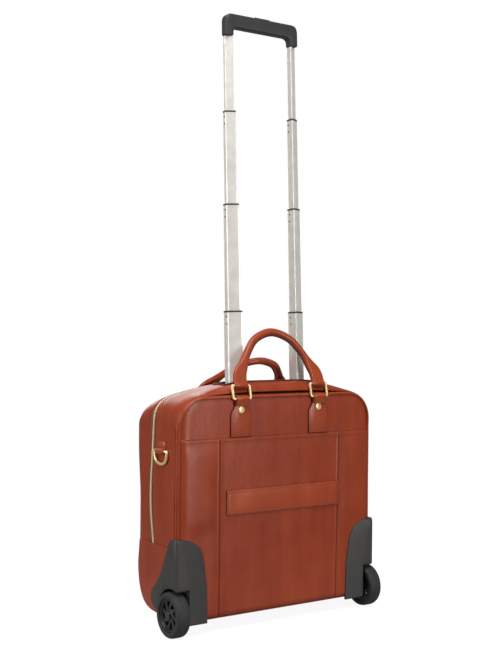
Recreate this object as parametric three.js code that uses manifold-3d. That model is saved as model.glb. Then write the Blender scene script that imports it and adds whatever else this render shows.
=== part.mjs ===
// A rolling laptop case: a leather case with two wheels, two carrying handles and a telescopic pull handle.
// Millimetres, +Z up. The wheeled back faces -Y, the zipped front flap faces +Y, and +X is to the right as
// seen from the back. The origin is on the floor, below the middle of the whole case.
import * as THREE from 'three';
import { mergeVertices } from 'three/addons/utils/BufferGeometryUtils.js';
import Module from 'manifold-3d';

const wasm = await Module();
wasm.setup();

// ---- driving dimensions -------------------------------------------------------------------------------

// The case body. Depths are measured forwards from the back face, which lies at y = BACK_Y.
const BACK_Y = -62.65;
const GAP = 0.3;
const HALF_WIDTH = 200;
const DEPTH = 149;
const UNDERSIDE = 24;
const BACK_SEAM_TOP = 388;
const CROWN = 411;
const WALL = 3;
const BACK_THICK = 4;
const BASE_SEAM = 141;
const TOP_PIECE_HALF = 150;
const FRONT_CORNER_RADIUS = 24;
const FRONT_FACE_START = 135;

// The zip that parts the front flap from the rear of the case.
const ZIP_HALF = 4.2;
const ZIP_TOP = { depth: 82, z: 401.44, slopeDegrees: 19.3 };
const HINGE_RELIEF = 1.8;

// The slot in the top, through which the pull handle passes.
const SLOT = { half: 100, near: 21, far: 55.5 };
const BEZEL = { bottom: 386, top: 390, margin: 1.2 };

// Leather details on the back.
const POCKET = { half: 196, bottom: 26, top: 320, thick: 1.5 };
const STRAP = { left: -110, right: 126, bottom: 191, top: 233, thick: 2.2 };
const TAB = { x: 81, half: 20, neckHalf: 12.5, bottom: 320.6, shoulder: 367, neck: 377, thick: 2.8 };
const RIVET = { z: 366, radius: 5, height: 1.6 };

// Rectangular rings that join each handle to its tabs, and the handles.
const RING = { width: 38, height: 26, wire: 3.4 };
const RING_PITCH = RING.height - RING.wire;
const LOOP = { hole: 2.8, radius: 4.6, half: 12.5 };
const REAR_PIVOT = { depth: -5, z: 384 };
const FRONT_PIVOT = { depth: 139.5, z: 370.5 };
// Each set of rings leans about its pivot, and its handle leans further about the rings' upper bars.
const REAR_LEAN = { rings: 12, handle: 6 };
const FRONT_LEAN = { rings: -44, handle: -3 };
const HANDLE = { radius: 6.2, strap: 22, rearRise: 94, frontRise: 84 };

// D-rings for a shoulder strap.
const D_RING = { depth: 52, z: 298, half: 22, drop: 23, wire: 4, stand: 3.4 };

// Wheels and their housings.
const WHEEL = { x: 200, depth: 12.5, radius: 37, half: 12.5, rim: 27 };
const ARCH = { radius: 42, inner: 184, wall: 3, top: 86, front: 58 };
const HOUSING = { half: 205, bottom: 19, proud: 3.5 };
const AXLE_RADIUS = 4;
const FOOT = { x: 110, depth: 104, radius: 11, top: 26.9 };

// The pull handle: four sliding stages in a fixed pair of tubes, all leaning a little towards the front.
const POLE = { x: 68.3, depth: 40, pivotZ: 400, leanDegrees: 2.634 };
const POLE_WIDTH = 13;
const POLE_DEPTH = 13.5;
const POLE_BEVEL = THREE.MathUtils.degToRad(25);
const POLE_STEP = 1.6;
const POLE_WALL = 1.1;
const BASE_TUBE = { bottom: 46, top: 396 };
// From the lowest sliding stage up: the height of its top when pulled out, and its length.
const STAGES = [
  { top: 529.8, length: 262 },
  { top: 713.3, length: 244 },
  { top: 874.0, length: 222 },
  { top: 1005.2, length: 192 },
];
const GRIP = { bottom: 1005.5, top: 1044, half: 76.5, depth: 17, bar: 23.5, legInner: 60.5 };
const GRIP_BUTTON = { half: 15, depth: 12, sunk: 5, proud: 1.5 };

const ZIP_SLIDER = { x: 16, half: 7, halfWidth: 4.5, height: 3.2, barAbove: 2.2, barRadius: 0.9, cheek: 1 };
const ZIP_PULL = { length: 23, halfWidth: 3.2, neckHalf: 2.2, neck: 3, thick: 1.4, eyeRadius: 1.9 };

// ---- materials ----------------------------------------------------------------------------------------

const material = (color, roughness, metalness) => new THREE.MeshStandardMaterial({ color, roughness, metalness });
const leather = material(0x8c3a1e, 0.45, 0);
const brass = material(0xd9b779, 0.3, 1);
const aluminium = material(0xc9c5bb, 0.35, 1);
const steel = material(0x9a9a9a, 0.4, 1);
const plastic = material(0x2f2f2f, 0.5, 0);
const rubber = material(0x1c1c1c, 0.8, 0);
const board = material(0x222222, 0.8, 0);

// ---- helpers ------------------------------------------------------------------------------------------

const model = new THREE.Group();

function add(name, geometry, finish, parent = model) {
  const mesh = new THREE.Mesh(geometry, finish);
  mesh.name = name;
  parent.add(mesh);
  return mesh;
}

// A closed three.js geometry as a solid for cutting and joining.
function solidOf(geometry) {
  const plain = geometry.clone();
  plain.deleteAttribute('normal');
  plain.deleteAttribute('uv');
  const merged = mergeVertices(plain, 1e-4);
  const vertProperties = new Float32Array(merged.attributes.position.array);
  const triVerts = new Uint32Array(merged.index.array);
  return new wasm.Manifold(new wasm.Mesh({ numProp: 3, vertProperties, triVerts }));
}

function geometryOf(solid) {
  const mesh = solid.getMesh();
  const geometry = new THREE.BufferGeometry();
  geometry.setAttribute('position', new THREE.BufferAttribute(new Float32Array(mesh.vertProperties), 3));
  geometry.setIndex(new THREE.BufferAttribute(new Uint32Array(mesh.triVerts), 1));
  geometry.computeVertexNormals();
  return geometry;
}

// The other side's copy of a geometry, with its faces turned to point outwards again.
function mirrored(geometry) {
  const copy = geometry.index ? geometry.clone() : mergeVertices(geometry);
  copy.scale(-1, 1, 1);
  const index = copy.index.array;
  for (let i = 0; i < index.length; i += 3) {
    [index[i], index[i + 1]] = [index[i + 1], index[i]];
  }
  copy.computeVertexNormals();
  return copy;
}

function addPair(name, rightGeometry, finish, parent = model) {
  add(`${name}_right`, rightGeometry, finish, parent);
  add(`${name}_left`, mirrored(rightGeometry), finish, parent);
}

function extruded(shape, length, curveSegments) {
  return new THREE.ExtrudeGeometry(shape, { depth: length, bevelEnabled: false, curveSegments, steps: 1 });
}

// A (depth, z) outline carried along X.
function alongX(shape, from, to, curveSegments = 6) {
  const geometry = extruded(shape, to - from, curveSegments);
  geometry.applyMatrix4(new THREE.Matrix4().set(0, 0, 1, from, 1, 0, 0, BACK_Y, 0, 1, 0, 0, 0, 0, 0, 1));
  return geometry;
}

// An (x, z) outline carried along Y between two depths.
function alongY(shape, near, far, curveSegments = 6) {
  const geometry = extruded(shape, far - near, curveSegments);
  geometry.applyMatrix4(new THREE.Matrix4().set(1, 0, 0, 0, 0, 0, -1, BACK_Y + far, 0, 1, 0, 0, 0, 0, 0, 1));
  return geometry;
}

// An (x, depth) outline carried up Z.
function alongZ(shape, bottom, top, curveSegments = 6) {
  const geometry = extruded(shape, top - bottom, curveSegments);
  geometry.translate(0, BACK_Y, bottom);
  return geometry;
}

function outline(points) {
  return new THREE.Shape(points.map(([u, v]) => new THREE.Vector2(u, v)));
}

function rectangle(left, right, bottom, top, radius = 0) {
  if (radius === 0) return outline([[left, bottom], [right, bottom], [right, top], [left, top]]);
  const shape = new THREE.Shape();
  const quarter = Math.PI / 2;
  shape.absarc(right - radius, bottom + radius, radius, -quarter, 0);
  shape.absarc(right - radius, top - radius, radius, 0, quarter);
  shape.absarc(left + radius, top - radius, radius, quarter, 2 * quarter);
  shape.absarc(left + radius, bottom + radius, radius, 2 * quarter, 3 * quarter);
  shape.closePath();
  return shape;
}

// A box from its X, depth and Z limits.
function block(x0, x1, near, far, z0, z1) {
  return alongX(rectangle(near, far, z0, z1), x0, x1);
}

// A round bar along X.
function barAlongX(depth, z, radius, x0, x1, sides) {
  const bar = new THREE.CylinderGeometry(radius, radius, x1 - x0, sides);
  bar.rotateZ(Math.PI / 2);
  bar.translate((x0 + x1) / 2, BACK_Y + depth, z);
  return bar;
}

// ---- the case body as one outer form, from which every wall is cut -------------------------------------

// The outline seen from the back: shoulders that rise to a flat crown.
function backView(inset) {
  const side = HALF_WIDTH - inset;
  const crown = CROWN - inset;
  const shape = new THREE.Shape();
  shape.moveTo(side - 12, UNDERSIDE + inset);
  shape.quadraticCurveTo(side, UNDERSIDE + inset, side, UNDERSIDE + inset + 14);
  shape.lineTo(side, 345);
  shape.bezierCurveTo(side, 376 - inset, 184 - inset, 387 - inset, 150, crown - 17);
  shape.quadraticCurveTo(95, crown, 50, crown);
  shape.lineTo(-50, crown);
  shape.quadraticCurveTo(-95, crown, -150, crown - 17);
  shape.bezierCurveTo(-184 + inset, 387 - inset, -side, 376 - inset, -side, 345);
  shape.lineTo(-side, UNDERSIDE + inset + 14);
  shape.quadraticCurveTo(-side, UNDERSIDE + inset, -side + 12, UNDERSIDE + inset);
  return shape;
}

// The curve over the front's upper edge, as (depth, z).
const frontShoulder = new THREE.CubicBezierCurve(
  new THREE.Vector2(DEPTH - 1, 290),
  new THREE.Vector2(DEPTH - 1, 330),
  new THREE.Vector2(DEPTH - 8, 366),
  new THREE.Vector2(124, 381),
);

// The outline seen from the side: upright at the back, domed on top, full and rounded at the front.
function sideView(inset) {
  const front = DEPTH - inset;
  const crown = CROWN - inset;
  const floor = UNDERSIDE + inset;
  const shape = new THREE.Shape();
  shape.moveTo(inset, floor);
  shape.lineTo(100, floor + 3.5);
  shape.bezierCurveTo(front - 12, floor + 8, front, 60, front, 102);
  const { v0, v1, v2, v3 } = frontShoulder;
  shape.quadraticCurveTo(front - 9, 195, v0.x - inset, v0.y);
  shape.bezierCurveTo(v1.x - inset, v1.y, v2.x - inset, v2.y - inset, v3.x, v3.y - inset);
  shape.quadraticCurveTo(100, 398 - inset, 58, crown - 2.5);
  shape.lineTo(24, crown);
  shape.quadraticCurveTo(inset + 3, crown, inset, BACK_SEAM_TOP - inset);
  return shape;
}

// The outline seen from above: square at the back, with rounded front corners.
function planView(inset) {
  const side = HALF_WIDTH - inset;
  const front = DEPTH - inset;
  const radius = FRONT_CORNER_RADIUS - inset;
  const shape = new THREE.Shape();
  shape.moveTo(-side, inset);
  shape.lineTo(side, inset);
  shape.absarc(side - radius, front - radius, radius, 0, Math.PI / 2);
  shape.absarc(-side + radius, front - radius, radius, Math.PI / 2, Math.PI);
  return shape;
}

function bodyForm(inset) {
  const fromBack = solidOf(alongY(backView(inset), -1, DEPTH + 1, 5));
  const fromSide = solidOf(alongX(sideView(inset), -HALF_WIDTH - 1, HALF_WIDTH + 1, 6));
  const fromAbove = solidOf(alongZ(planView(inset), 0, CROWN + 1, 4));
  return fromBack.intersect(fromSide).intersect(fromAbove);
}

const outer = bodyForm(0);
const walls = outer.subtract(bodyForm(WALL));

// The zip's course seen from the side, from above the top down to the base seam, as (depth, z).
const zipCourse = new THREE.SplineCurve(
  [[ZIP_TOP.depth, 440], [ZIP_TOP.depth, 385], [84, 335], [88, 290], [92, 240], [91, 195], [82, BASE_SEAM]]
    .map(([depth, z]) => new THREE.Vector2(depth, z)),
);

// The points of the zip's course, moved forwards by an offset.
function zipLine(offset) {
  return zipCourse.getPoints(18).map((point) => [point.x + offset, point.y]);
}

const seam = BASE_SEAM + GAP / 2;
const behindZip = outline([[BACK_THICK + GAP, seam], [BACK_THICK + GAP, 440], ...zipLine(-ZIP_HALF - GAP)]);
const onZip = outline([...zipLine(ZIP_HALF), ...zipLine(-ZIP_HALF).reverse()]);
// The front gusset's lower rear corner is cut back, so that it swings clear of the zip as the flap opens.
const gussetEdge = zipLine(ZIP_HALF + GAP);
gussetEdge[gussetEdge.length - 1][0] += HINGE_RELIEF;
const beforeZip = outline([...gussetEdge, [FRONT_FACE_START - GAP, seam], [FRONT_FACE_START - GAP, 440]]);

const allX = HALF_WIDTH + 5;
const wholeWidth = (shape) => solidOf(alongX(shape, -allX, allX));
const wallPiece = (region) => walls.intersect(region);

// ---- wheel housings: a back plate, a side wing and a wheel arch in one moulding -------------------------

function housingPlate(grow) {
  const shape = new THREE.Shape();
  shape.moveTo(HOUSING.half + grow, HOUSING.bottom - grow);
  shape.lineTo(HOUSING.half + grow, 160 + grow);
  shape.quadraticCurveTo(159 - grow, 162 + grow, 152 - grow, 122);
  shape.lineTo(146 - grow, 80);
  shape.lineTo(145 - grow, HOUSING.bottom - grow);
  return shape;
}

function housingWing() {
  const back = -HOUSING.proud;
  const shape = new THREE.Shape();
  shape.moveTo(back, HOUSING.bottom);
  shape.lineTo(44, HOUSING.bottom);
  shape.lineTo(ARCH.front, 36);
  shape.quadraticCurveTo(78, 40, 79, 54);
  shape.quadraticCurveTo(79, 64, 68, 73);
  shape.quadraticCurveTo(52, 87, 42, 108);
  shape.lineTo(24, 146);
  shape.quadraticCurveTo(17, 160, 8, 160);
  shape.lineTo(back, 160);
  return shape;
}

const plateSolid = solidOf(alongY(housingPlate(0), -HOUSING.proud, -GAP));
const wingSolid = solidOf(alongX(housingWing(), HALF_WIDTH + GAP, HOUSING.half));
const archOutline = outline([
  [-HOUSING.proud, HOUSING.bottom], [44, HOUSING.bottom], [ARCH.front, 36], [ARCH.front, ARCH.top],
  [-HOUSING.proud, ARCH.top],
]);
const archBlock = solidOf(alongX(archOutline, ARCH.inner - ARCH.wall, HOUSING.half));
const archSpace = solidOf(barAlongX(WHEEL.depth, WHEEL.radius, ARCH.radius, ARCH.inner, HOUSING.half + 5, 36));
const axleHole = solidOf(
  barAlongX(WHEEL.depth, WHEEL.radius, AXLE_RADIUS + GAP, ARCH.inner - ARCH.wall - 2, ARCH.inner + 2, 16),
);
const housing = plateSolid.add(wingSolid).add(archBlock).subtract(archSpace).subtract(axleHole);
addPair('wheel_housing', geometryOf(housing), plastic);

// The room that both housings take out of the leather around them.
const plateRoom = solidOf(alongY(housingPlate(GAP), -10, -GAP / 2));
const archRoom = solidOf(
  block(ARCH.inner - ARCH.wall - GAP, allX, -10, ARCH.front + GAP, 0, ARCH.top + GAP),
);
const roomRight = plateRoom.add(archRoom);
const roomLeft = solidOf(mirrored(geometryOf(roomRight)));
const housingRoom = roomRight.add(roomLeft);

// ---- leather walls --------------------------------------------------------------------------------------

const backSlab = solidOf(block(-allX, allX, -1, BACK_THICK, 0, 440));
add('back_panel', geometryOf(outer.intersect(backSlab).subtract(housingRoom)), leather);

const slotSpace = solidOf(block(-SLOT.half, SLOT.half, SLOT.near, SLOT.far, 350, 440));
const rearWalls = wallPiece(wholeWidth(behindZip)).subtract(slotSpace);
const rightSide = solidOf(block(TOP_PIECE_HALF + GAP / 2, allX, -5, DEPTH + 5, 0, 440));
const middle = solidOf(block(-TOP_PIECE_HALF + GAP / 2, TOP_PIECE_HALF - GAP / 2, -5, DEPTH + 5, 250, 440));
addPair('gusset_rear', geometryOf(rearWalls.intersect(rightSide)), leather);
add('gusset_rear_top', geometryOf(rearWalls.intersect(middle)), leather);
add('zip_tape', geometryOf(wallPiece(wholeWidth(onZip))), leather);

const frontWalls = wallPiece(wholeWidth(beforeZip));
addPair('gusset_front', geometryOf(frontWalls.intersect(rightSide)), leather);
add('gusset_front_top', geometryOf(frontWalls.intersect(middle)), leather);

const frontRegion = rectangle(FRONT_FACE_START, DEPTH + 5, seam, 440);
add('front_panel', geometryOf(wallPiece(wholeWidth(frontRegion))), leather);

const baseRegion = rectangle(BACK_THICK + GAP, DEPTH + 5, 0, BASE_SEAM - GAP / 2);
add('base_boot', geometryOf(wallPiece(wholeWidth(baseRegion)).subtract(housingRoom)), leather);

const pocket = solidOf(
  alongY(rectangle(-POCKET.half, POCKET.half, POCKET.bottom, POCKET.top, 6), -POCKET.thick - GAP, -GAP),
);
add('back_pocket', geometryOf(pocket.subtract(housingRoom)), leather);

const strapBack = -POCKET.thick - 2 * GAP;
const strapOutline = rectangle(STRAP.left, STRAP.right, STRAP.bottom, STRAP.top);
add('back_strap', alongY(strapOutline, strapBack - STRAP.thick, strapBack), leather);

// A shallow open-topped pocket panel that lies on the curved front.
const pocketFront = solidOf(alongX(sideView(-GAP), -150, 150)).intersect(
  solidOf(block(-150, 150, FRONT_FACE_START, DEPTH + 5, 0, 440)),
);
const pocketSkin = solidOf(alongX(sideView(-GAP - 1.5), -150, 150)).subtract(pocketFront);
const pocketRegion = solidOf(block(-150, 150, FRONT_FACE_START + 3, DEPTH + 5, BASE_SEAM + 6, 300));
add('front_pocket', geometryOf(pocketSkin.intersect(pocketRegion)), leather);

// ---- inside ---------------------------------------------------------------------------------------------

const poles = new THREE.Group();
poles.position.set(0, BACK_Y + POLE.depth, POLE.pivotZ);
poles.rotation.x = -THREE.MathUtils.degToRad(POLE.leanDegrees);
poles.updateMatrix();
model.add(poles);
const alongPole = (z) => (z - POLE.pivotZ) / Math.cos(THREE.MathUtils.degToRad(POLE.leanDegrees));

// A pole's section at a growth from the innermost one, centred on the right pole: flat inside and front
// faces, and a broad bevelled face that looks back and outwards.
function poleSection(growth) {
  const inside = POLE.x - POLE_WIDTH / 2 - growth;
  const outside = POLE.x + POLE_WIDTH / 2 + growth;
  const front = POLE_DEPTH / 2 + growth;
  const cornerGrowth = growth * (1 / Math.cos(POLE_BEVEL) + Math.tan(POLE_BEVEL));
  const back = -POLE_DEPTH / 2 - cornerGrowth;
  const outerBack = back + (outside - inside) * Math.tan(POLE_BEVEL);
  const round = 2 + growth * 0.15;
  const shape = new THREE.Shape();
  shape.moveTo(inside, back + round);
  shape.quadraticCurveTo(inside, back, inside + round, back + round * Math.tan(POLE_BEVEL));
  shape.lineTo(outside - round, outerBack - round * Math.tan(POLE_BEVEL));
  shape.quadraticCurveTo(outside, outerBack, outside, outerBack + round);
  shape.lineTo(outside, front - round);
  shape.quadraticCurveTo(outside, front, outside - round, front);
  shape.lineTo(inside + round, front);
  shape.quadraticCurveTo(inside, front, inside, front - round);
  return shape;
}

function poleTube(growth, bottom, top) {
  const section = poleSection(growth);
  section.holes.push(new THREE.Path(poleSection(growth - POLE_WALL).getPoints(2)));
  const geometry = extruded(section, alongPole(top) - alongPole(bottom), 2);
  geometry.translate(0, 0, alongPole(bottom));
  return geometry;
}

const stageGrowth = (stage) => POLE_STEP * (STAGES.length - 1 - stage);
const baseGrowth = POLE_STEP * STAGES.length;
addPair('base_tube', poleTube(baseGrowth, BASE_TUBE.bottom, BASE_TUBE.top), aluminium, poles);

const poleRoomGeometry = extruded(poleSection(baseGrowth + GAP), 60, 2);
poleRoomGeometry.translate(0, 0, -30);
poleRoomGeometry.applyMatrix4(poles.matrix);
const poleRoom = solidOf(poleRoomGeometry).add(solidOf(mirrored(poleRoomGeometry)));
const bezelPlate = solidOf(
  block(-SLOT.half + GAP, SLOT.half - GAP, SLOT.near + GAP, SLOT.far - GAP, BEZEL.bottom, BEZEL.top),
);
add('slot_bezel', geometryOf(bezelPlate.subtract(poleRoom)), plastic);

// A stiff board behind the back panel, with a shelf that carries the lower ends of the fixed tubes.
const boardNear = BACK_THICK + GAP;
const boardPlate = solidOf(block(-170, 170, boardNear, boardNear + 2, 32, 378));
const boardShelf = solidOf(block(-100, 100, boardNear + 1, 46, 32, BASE_TUBE.bottom - 1.2));
add('frame_board', geometryOf(boardPlate.add(boardShelf)), board);

// ---- the sliding stages and the grip ----------------------------------------------------------------------

STAGES.forEach((stage, number) => {
  const tube = poleTube(stageGrowth(number), stage.top - stage.length, stage.top);
  addPair(`stage_${number + 1}_tube`, tube, aluminium, poles);
});

const gripBottom = alongPole(GRIP.bottom);
const gripTop = alongPole(GRIP.top);

function gripOutline() {
  const cornerOut = 12;
  const cornerIn = 9;
  const under = gripTop - GRIP.bar;
  const shape = new THREE.Shape();
  shape.moveTo(GRIP.half, gripBottom);
  shape.lineTo(GRIP.half, gripTop - cornerOut);
  shape.quadraticCurveTo(GRIP.half, gripTop, GRIP.half - cornerOut, gripTop);
  shape.lineTo(-GRIP.half + cornerOut, gripTop);
  shape.quadraticCurveTo(-GRIP.half, gripTop, -GRIP.half, gripTop - cornerOut);
  shape.lineTo(-GRIP.half, gripBottom);
  shape.lineTo(-GRIP.legInner, gripBottom);
  shape.quadraticCurveTo(-GRIP.legInner, under, -GRIP.legInner + cornerIn, under);
  shape.lineTo(GRIP.legInner - cornerIn, under);
  shape.quadraticCurveTo(GRIP.legInner, under, GRIP.legInner, gripBottom);
  return shape;
}

// An (x, height) outline carried along the poles' own front-to-back direction.
function acrossPoles(shape, halfDepth, curveSegments = 5) {
  const geometry = extruded(shape, 2 * halfDepth, curveSegments);
  geometry.applyMatrix4(new THREE.Matrix4().set(1, 0, 0, 0, 0, 0, -1, halfDepth, 0, 1, 0, 0, 0, 0, 0, 1));
  return geometry;
}

function buttonOutline(grow) {
  const low = gripTop - GRIP_BUTTON.sunk - grow;
  const high = gripTop + GRIP_BUTTON.proud;
  return rectangle(-GRIP_BUTTON.half - grow, GRIP_BUTTON.half + grow, low, high);
}

const buttonTravelRoom = 3.4;
const buttonRoom = solidOf(acrossPoles(buttonOutline(GAP), GRIP_BUTTON.depth / 2 + GAP));
const travelRoom = buttonRoom.translate([0, 0, -buttonTravelRoom]);
const gripSolid = solidOf(acrossPoles(gripOutline(), GRIP.depth / 2)).subtract(buttonRoom).subtract(travelRoom);
add('grip', geometryOf(gripSolid), plastic, poles);
add('grip_button', acrossPoles(buttonOutline(0), GRIP_BUTTON.depth / 2), plastic, poles);

// ---- handle tabs, rings and handles -------------------------------------------------------------------------

// A right tab's outline from its foot at height 0 to `top`, where its loop is: a wide strap with angled
// shoulders and a narrow neck.
function tabOutline(top) {
  const shape = new THREE.Shape();
  const shoulder = top - (REAR_PIVOT.z - TAB.shoulder);
  shape.moveTo(TAB.x - TAB.half, 0);
  shape.lineTo(TAB.x + TAB.half, 0);
  shape.lineTo(TAB.x + TAB.half, shoulder - 4);
  shape.lineTo(TAB.x + LOOP.half, shoulder + 8);
  shape.lineTo(TAB.x + LOOP.half, top);
  shape.lineTo(TAB.x - LOOP.half, top);
  shape.lineTo(TAB.x - LOOP.half, shoulder + 8);
  shape.lineTo(TAB.x - TAB.half, shoulder - 4);
  return shape;
}

// A rear tab, flat on the back panel, with its loop around a bar that stands off by `stand`.
function tabSolid(top, stand) {
  const plate = solidOf(alongY(tabOutline(top), -GAP - TAB.thick, -GAP));
  const left = TAB.x - LOOP.half;
  const right = TAB.x + LOOP.half;
  const loop = solidOf(barAlongX(-stand, top, LOOP.radius, left, right, 16));
  const hole = solidOf(barAlongX(-stand, top, LOOP.hole, left - 1, right + 1, 12));
  return plate.add(loop).subtract(hole);
}

function rivetGeometry(height) {
  const rivet = new THREE.CylinderGeometry(RIVET.radius, RIVET.radius - 1.2, RIVET.height, 16);
  rivet.translate(TAB.x, BACK_Y - 2 * GAP - TAB.thick - RIVET.height / 2, height);
  return rivet;
}

const rearTop = REAR_PIVOT.z - TAB.bottom;
const rearTab = geometryOf(tabSolid(rearTop, -REAR_PIVOT.depth));
rearTab.translate(0, 0, TAB.bottom);
addPair('rear_tab', rearTab, leather);
addPair('rear_rivet', rivetGeometry(RIVET.z), brass);

// The front tabs have the same outline, and follow the rounded front up to their loops.
const tabLeft = TAB.x - TAB.half;
const tabRight = TAB.x + TAB.half;
const bareFront = solidOf(alongX(sideView(-GAP), tabLeft - 1, tabRight + 1));
const coveredFront = solidOf(alongX(sideView(-GAP - TAB.thick), tabLeft, tabRight));
const frontTabFace = solidOf(alongY(tabOutline(FRONT_PIVOT.z - TAB.bottom), FRONT_FACE_START - 5, DEPTH + 10));
const frontLoop = solidOf(barAlongX(
  FRONT_PIVOT.depth, FRONT_PIVOT.z, LOOP.radius, TAB.x - LOOP.half, TAB.x + LOOP.half, 16,
));
const frontLoopHole = solidOf(barAlongX(
  FRONT_PIVOT.depth, FRONT_PIVOT.z, LOOP.hole, TAB.x - LOOP.half - 1, TAB.x + LOOP.half + 1, 12,
));
const frontTab = coveredFront
  .intersect(frontTabFace.translate([0, 0, TAB.bottom]))
  .add(frontLoop)
  .subtract(bareFront)
  .subtract(frontLoopHole);
addPair('front_tab', geometryOf(frontTab), leather);

// Each front rivet sits square on the tab where the shoulder curve has run this share of its length.
const RIVET_SHARE = 0.6;
const rivetSeat = frontShoulder.getPoint(RIVET_SHARE);
const rivetSlope = frontShoulder.getTangent(RIVET_SHARE);
const frontRivet = new THREE.CylinderGeometry(RIVET.radius - 1.2, RIVET.radius, RIVET.height, 16);
frontRivet.translate(0, 3 * GAP + TAB.thick + RIVET.height / 2, 0);
frontRivet.rotateX(Math.atan2(-rivetSlope.x, rivetSlope.y));
frontRivet.translate(TAB.x, BACK_Y + rivetSeat.x, rivetSeat.y);
addPair('front_rivet', frontRivet, brass);

// A ring hangs up from its pivot at height 0, in the plane depth = 0 of its own group.
function ringGeometry() {
  const wire = RING.wire;
  const low = -wire / 2;
  const shape = rectangle(TAB.x - RING.width / 2, TAB.x + RING.width / 2, low, low + RING.height, 2.5);
  const window = rectangle(
    TAB.x - RING.width / 2 + wire, TAB.x + RING.width / 2 - wire, low + wire, low + RING.height - wire,
  );
  shape.holes.push(window);
  const ring = alongY(shape, -wire / 2, wire / 2, 2);
  ring.translate(0, -BACK_Y, 0);
  return ring;
}

// A rolled handle whose middle stands `rise` above the bars of its rings, with a flat strap at each end.
function handleGeometry(rise) {
  // Each point is an x and its share of the height between the strap's top and the middle of the roll.
  const climb = [[69, 0.2], [56, 0.52], [35, 0.84]];
  const upper = climb.map(([x, share]) => [x, HANDLE.strap + share * (rise - HANDLE.strap)]);
  const half = [[TAB.x, HANDLE.strap / 2], [TAB.x - 3, HANDLE.strap], ...upper];
  const arch = [...half, [0, rise], ...half.toReversed().map(([x, height]) => [-x, height])];
  const course = new THREE.CatmullRomCurve3(arch.map(([x, height]) => new THREE.Vector3(x, 0, height)));
  const section = new THREE.Shape();
  section.absarc(0, 0, HANDLE.radius, 0, 2 * Math.PI);
  let handle = solidOf(
    new THREE.ExtrudeGeometry(section, { steps: 22, curveSegments: 5, bevelEnabled: false, extrudePath: course }),
  );
  for (const side of [-1, 1]) {
    const centre = side * TAB.x;
    const paddle = new THREE.BoxGeometry(2 * LOOP.half, 2 * LOOP.radius, HANDLE.strap);
    paddle.translate(centre, 0, HANDLE.strap / 2);
    const loop = barAlongX(-BACK_Y, 0, LOOP.radius, centre - LOOP.half, centre + LOOP.half, 16);
    const hole = barAlongX(-BACK_Y, 0, LOOP.hole, centre - LOOP.half - 1, centre + LOOP.half + 1, 12);
    handle = handle.add(solidOf(paddle)).add(solidOf(loop)).subtract(solidOf(hole));
  }
  return geometryOf(handle);
}

// A pair of rings that lean about the bar in the tabs, with their handle.
function handleSet(name, pivot, lean, rise) {
  const set = new THREE.Group();
  set.position.set(0, BACK_Y + pivot.depth, pivot.z);
  set.rotation.x = -THREE.MathUtils.degToRad(lean.rings);
  addPair(`${name}_ring`, ringGeometry(), brass, set);
  const handle = add(`${name}_handle`, handleGeometry(rise), leather, set);
  handle.position.z = RING_PITCH;
  handle.rotation.x = -THREE.MathUtils.degToRad(lean.handle);
  model.add(set);
}

handleSet('rear', REAR_PIVOT, REAR_LEAN, HANDLE.rearRise);
handleSet('front', FRONT_PIVOT, FRONT_LEAN, HANDLE.frontRise);

// ---- D-rings --------------------------------------------------------------------------------------------------

function dOutline(inset) {
  const half = D_RING.half - inset;
  const top = D_RING.wire / 2 - inset;
  const drop = -D_RING.drop + inset;
  const shape = new THREE.Shape();
  shape.moveTo(half, top);
  shape.lineTo(-half, top);
  shape.bezierCurveTo(-half, drop * 0.72, -half * 0.62, drop, 0, drop);
  shape.bezierCurveTo(half * 0.62, drop, half, drop * 0.72, half, top);
  return shape;
}

const dShape = dOutline(0);
dShape.holes.push(dOutline(D_RING.wire));
const barX = HALF_WIDTH + D_RING.stand;
const dRing = alongX(dShape, barX - D_RING.wire / 2 + 0.6, barX + D_RING.wire / 2 + 0.6, 6);
dRing.translate(-0.6, D_RING.depth, D_RING.z);
addPair('d_ring', dRing, brass);

// A round bar along Y on the right side.
function barAlongY(x, z, radius, near, far, sides) {
  const bar = new THREE.CylinderGeometry(radius, radius, far - near, sides);
  bar.translate(x, BACK_Y + (near + far) / 2, z);
  return bar;
}

const loopNear = D_RING.depth - 12;
const loopFar = D_RING.depth + 12;
const dLoopBar = solidOf(barAlongY(barX, D_RING.z, 4.8, loopNear, loopFar, 16));
const dLoopHole = solidOf(barAlongY(barX, D_RING.z, 3.1, loopNear - 1, loopFar + 1, 12));
const dLoopTab = solidOf(block(HALF_WIDTH + GAP, HALF_WIDTH + 2.3, loopNear, loopFar, D_RING.z, D_RING.z + 16));
const besideCase = solidOf(block(HALF_WIDTH + GAP, HALF_WIDTH + 20, loopNear - 5, loopFar + 5, 250, 350));
const dLoop = dLoopBar.add(dLoopTab).subtract(dLoopHole).intersect(besideCase);
addPair('d_ring_loop', geometryOf(dLoop), leather);

// ---- wheels, axles and feet -------------------------------------------------------------------------------------

// A solid of revolution about X, from a closed (radius, x) profile, standing at the right wheel.
function turned(profile, sides) {
  const points = [...profile, profile[0]].map(([radius, x]) => new THREE.Vector2(radius, x));
  const lathe = new THREE.LatheGeometry(points, sides);
  lathe.rotateZ(-Math.PI / 2);
  lathe.translate(WHEEL.x, BACK_Y + WHEEL.depth, WHEEL.radius);
  return lathe;
}

const tread = WHEEL.half;
const tyreProfile = [
  [WHEEL.rim, -tread + 1], [WHEEL.radius - 5, -tread], [WHEEL.radius - 1.2, -tread + 3.5],
  [WHEEL.radius, -tread + 8], [WHEEL.radius, tread - 8], [WHEEL.radius - 1.2, tread - 3.5],
  [WHEEL.radius - 5, tread], [WHEEL.rim, tread - 1],
];
addPair('tyre', turned(tyreProfile, 40), rubber);

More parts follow.
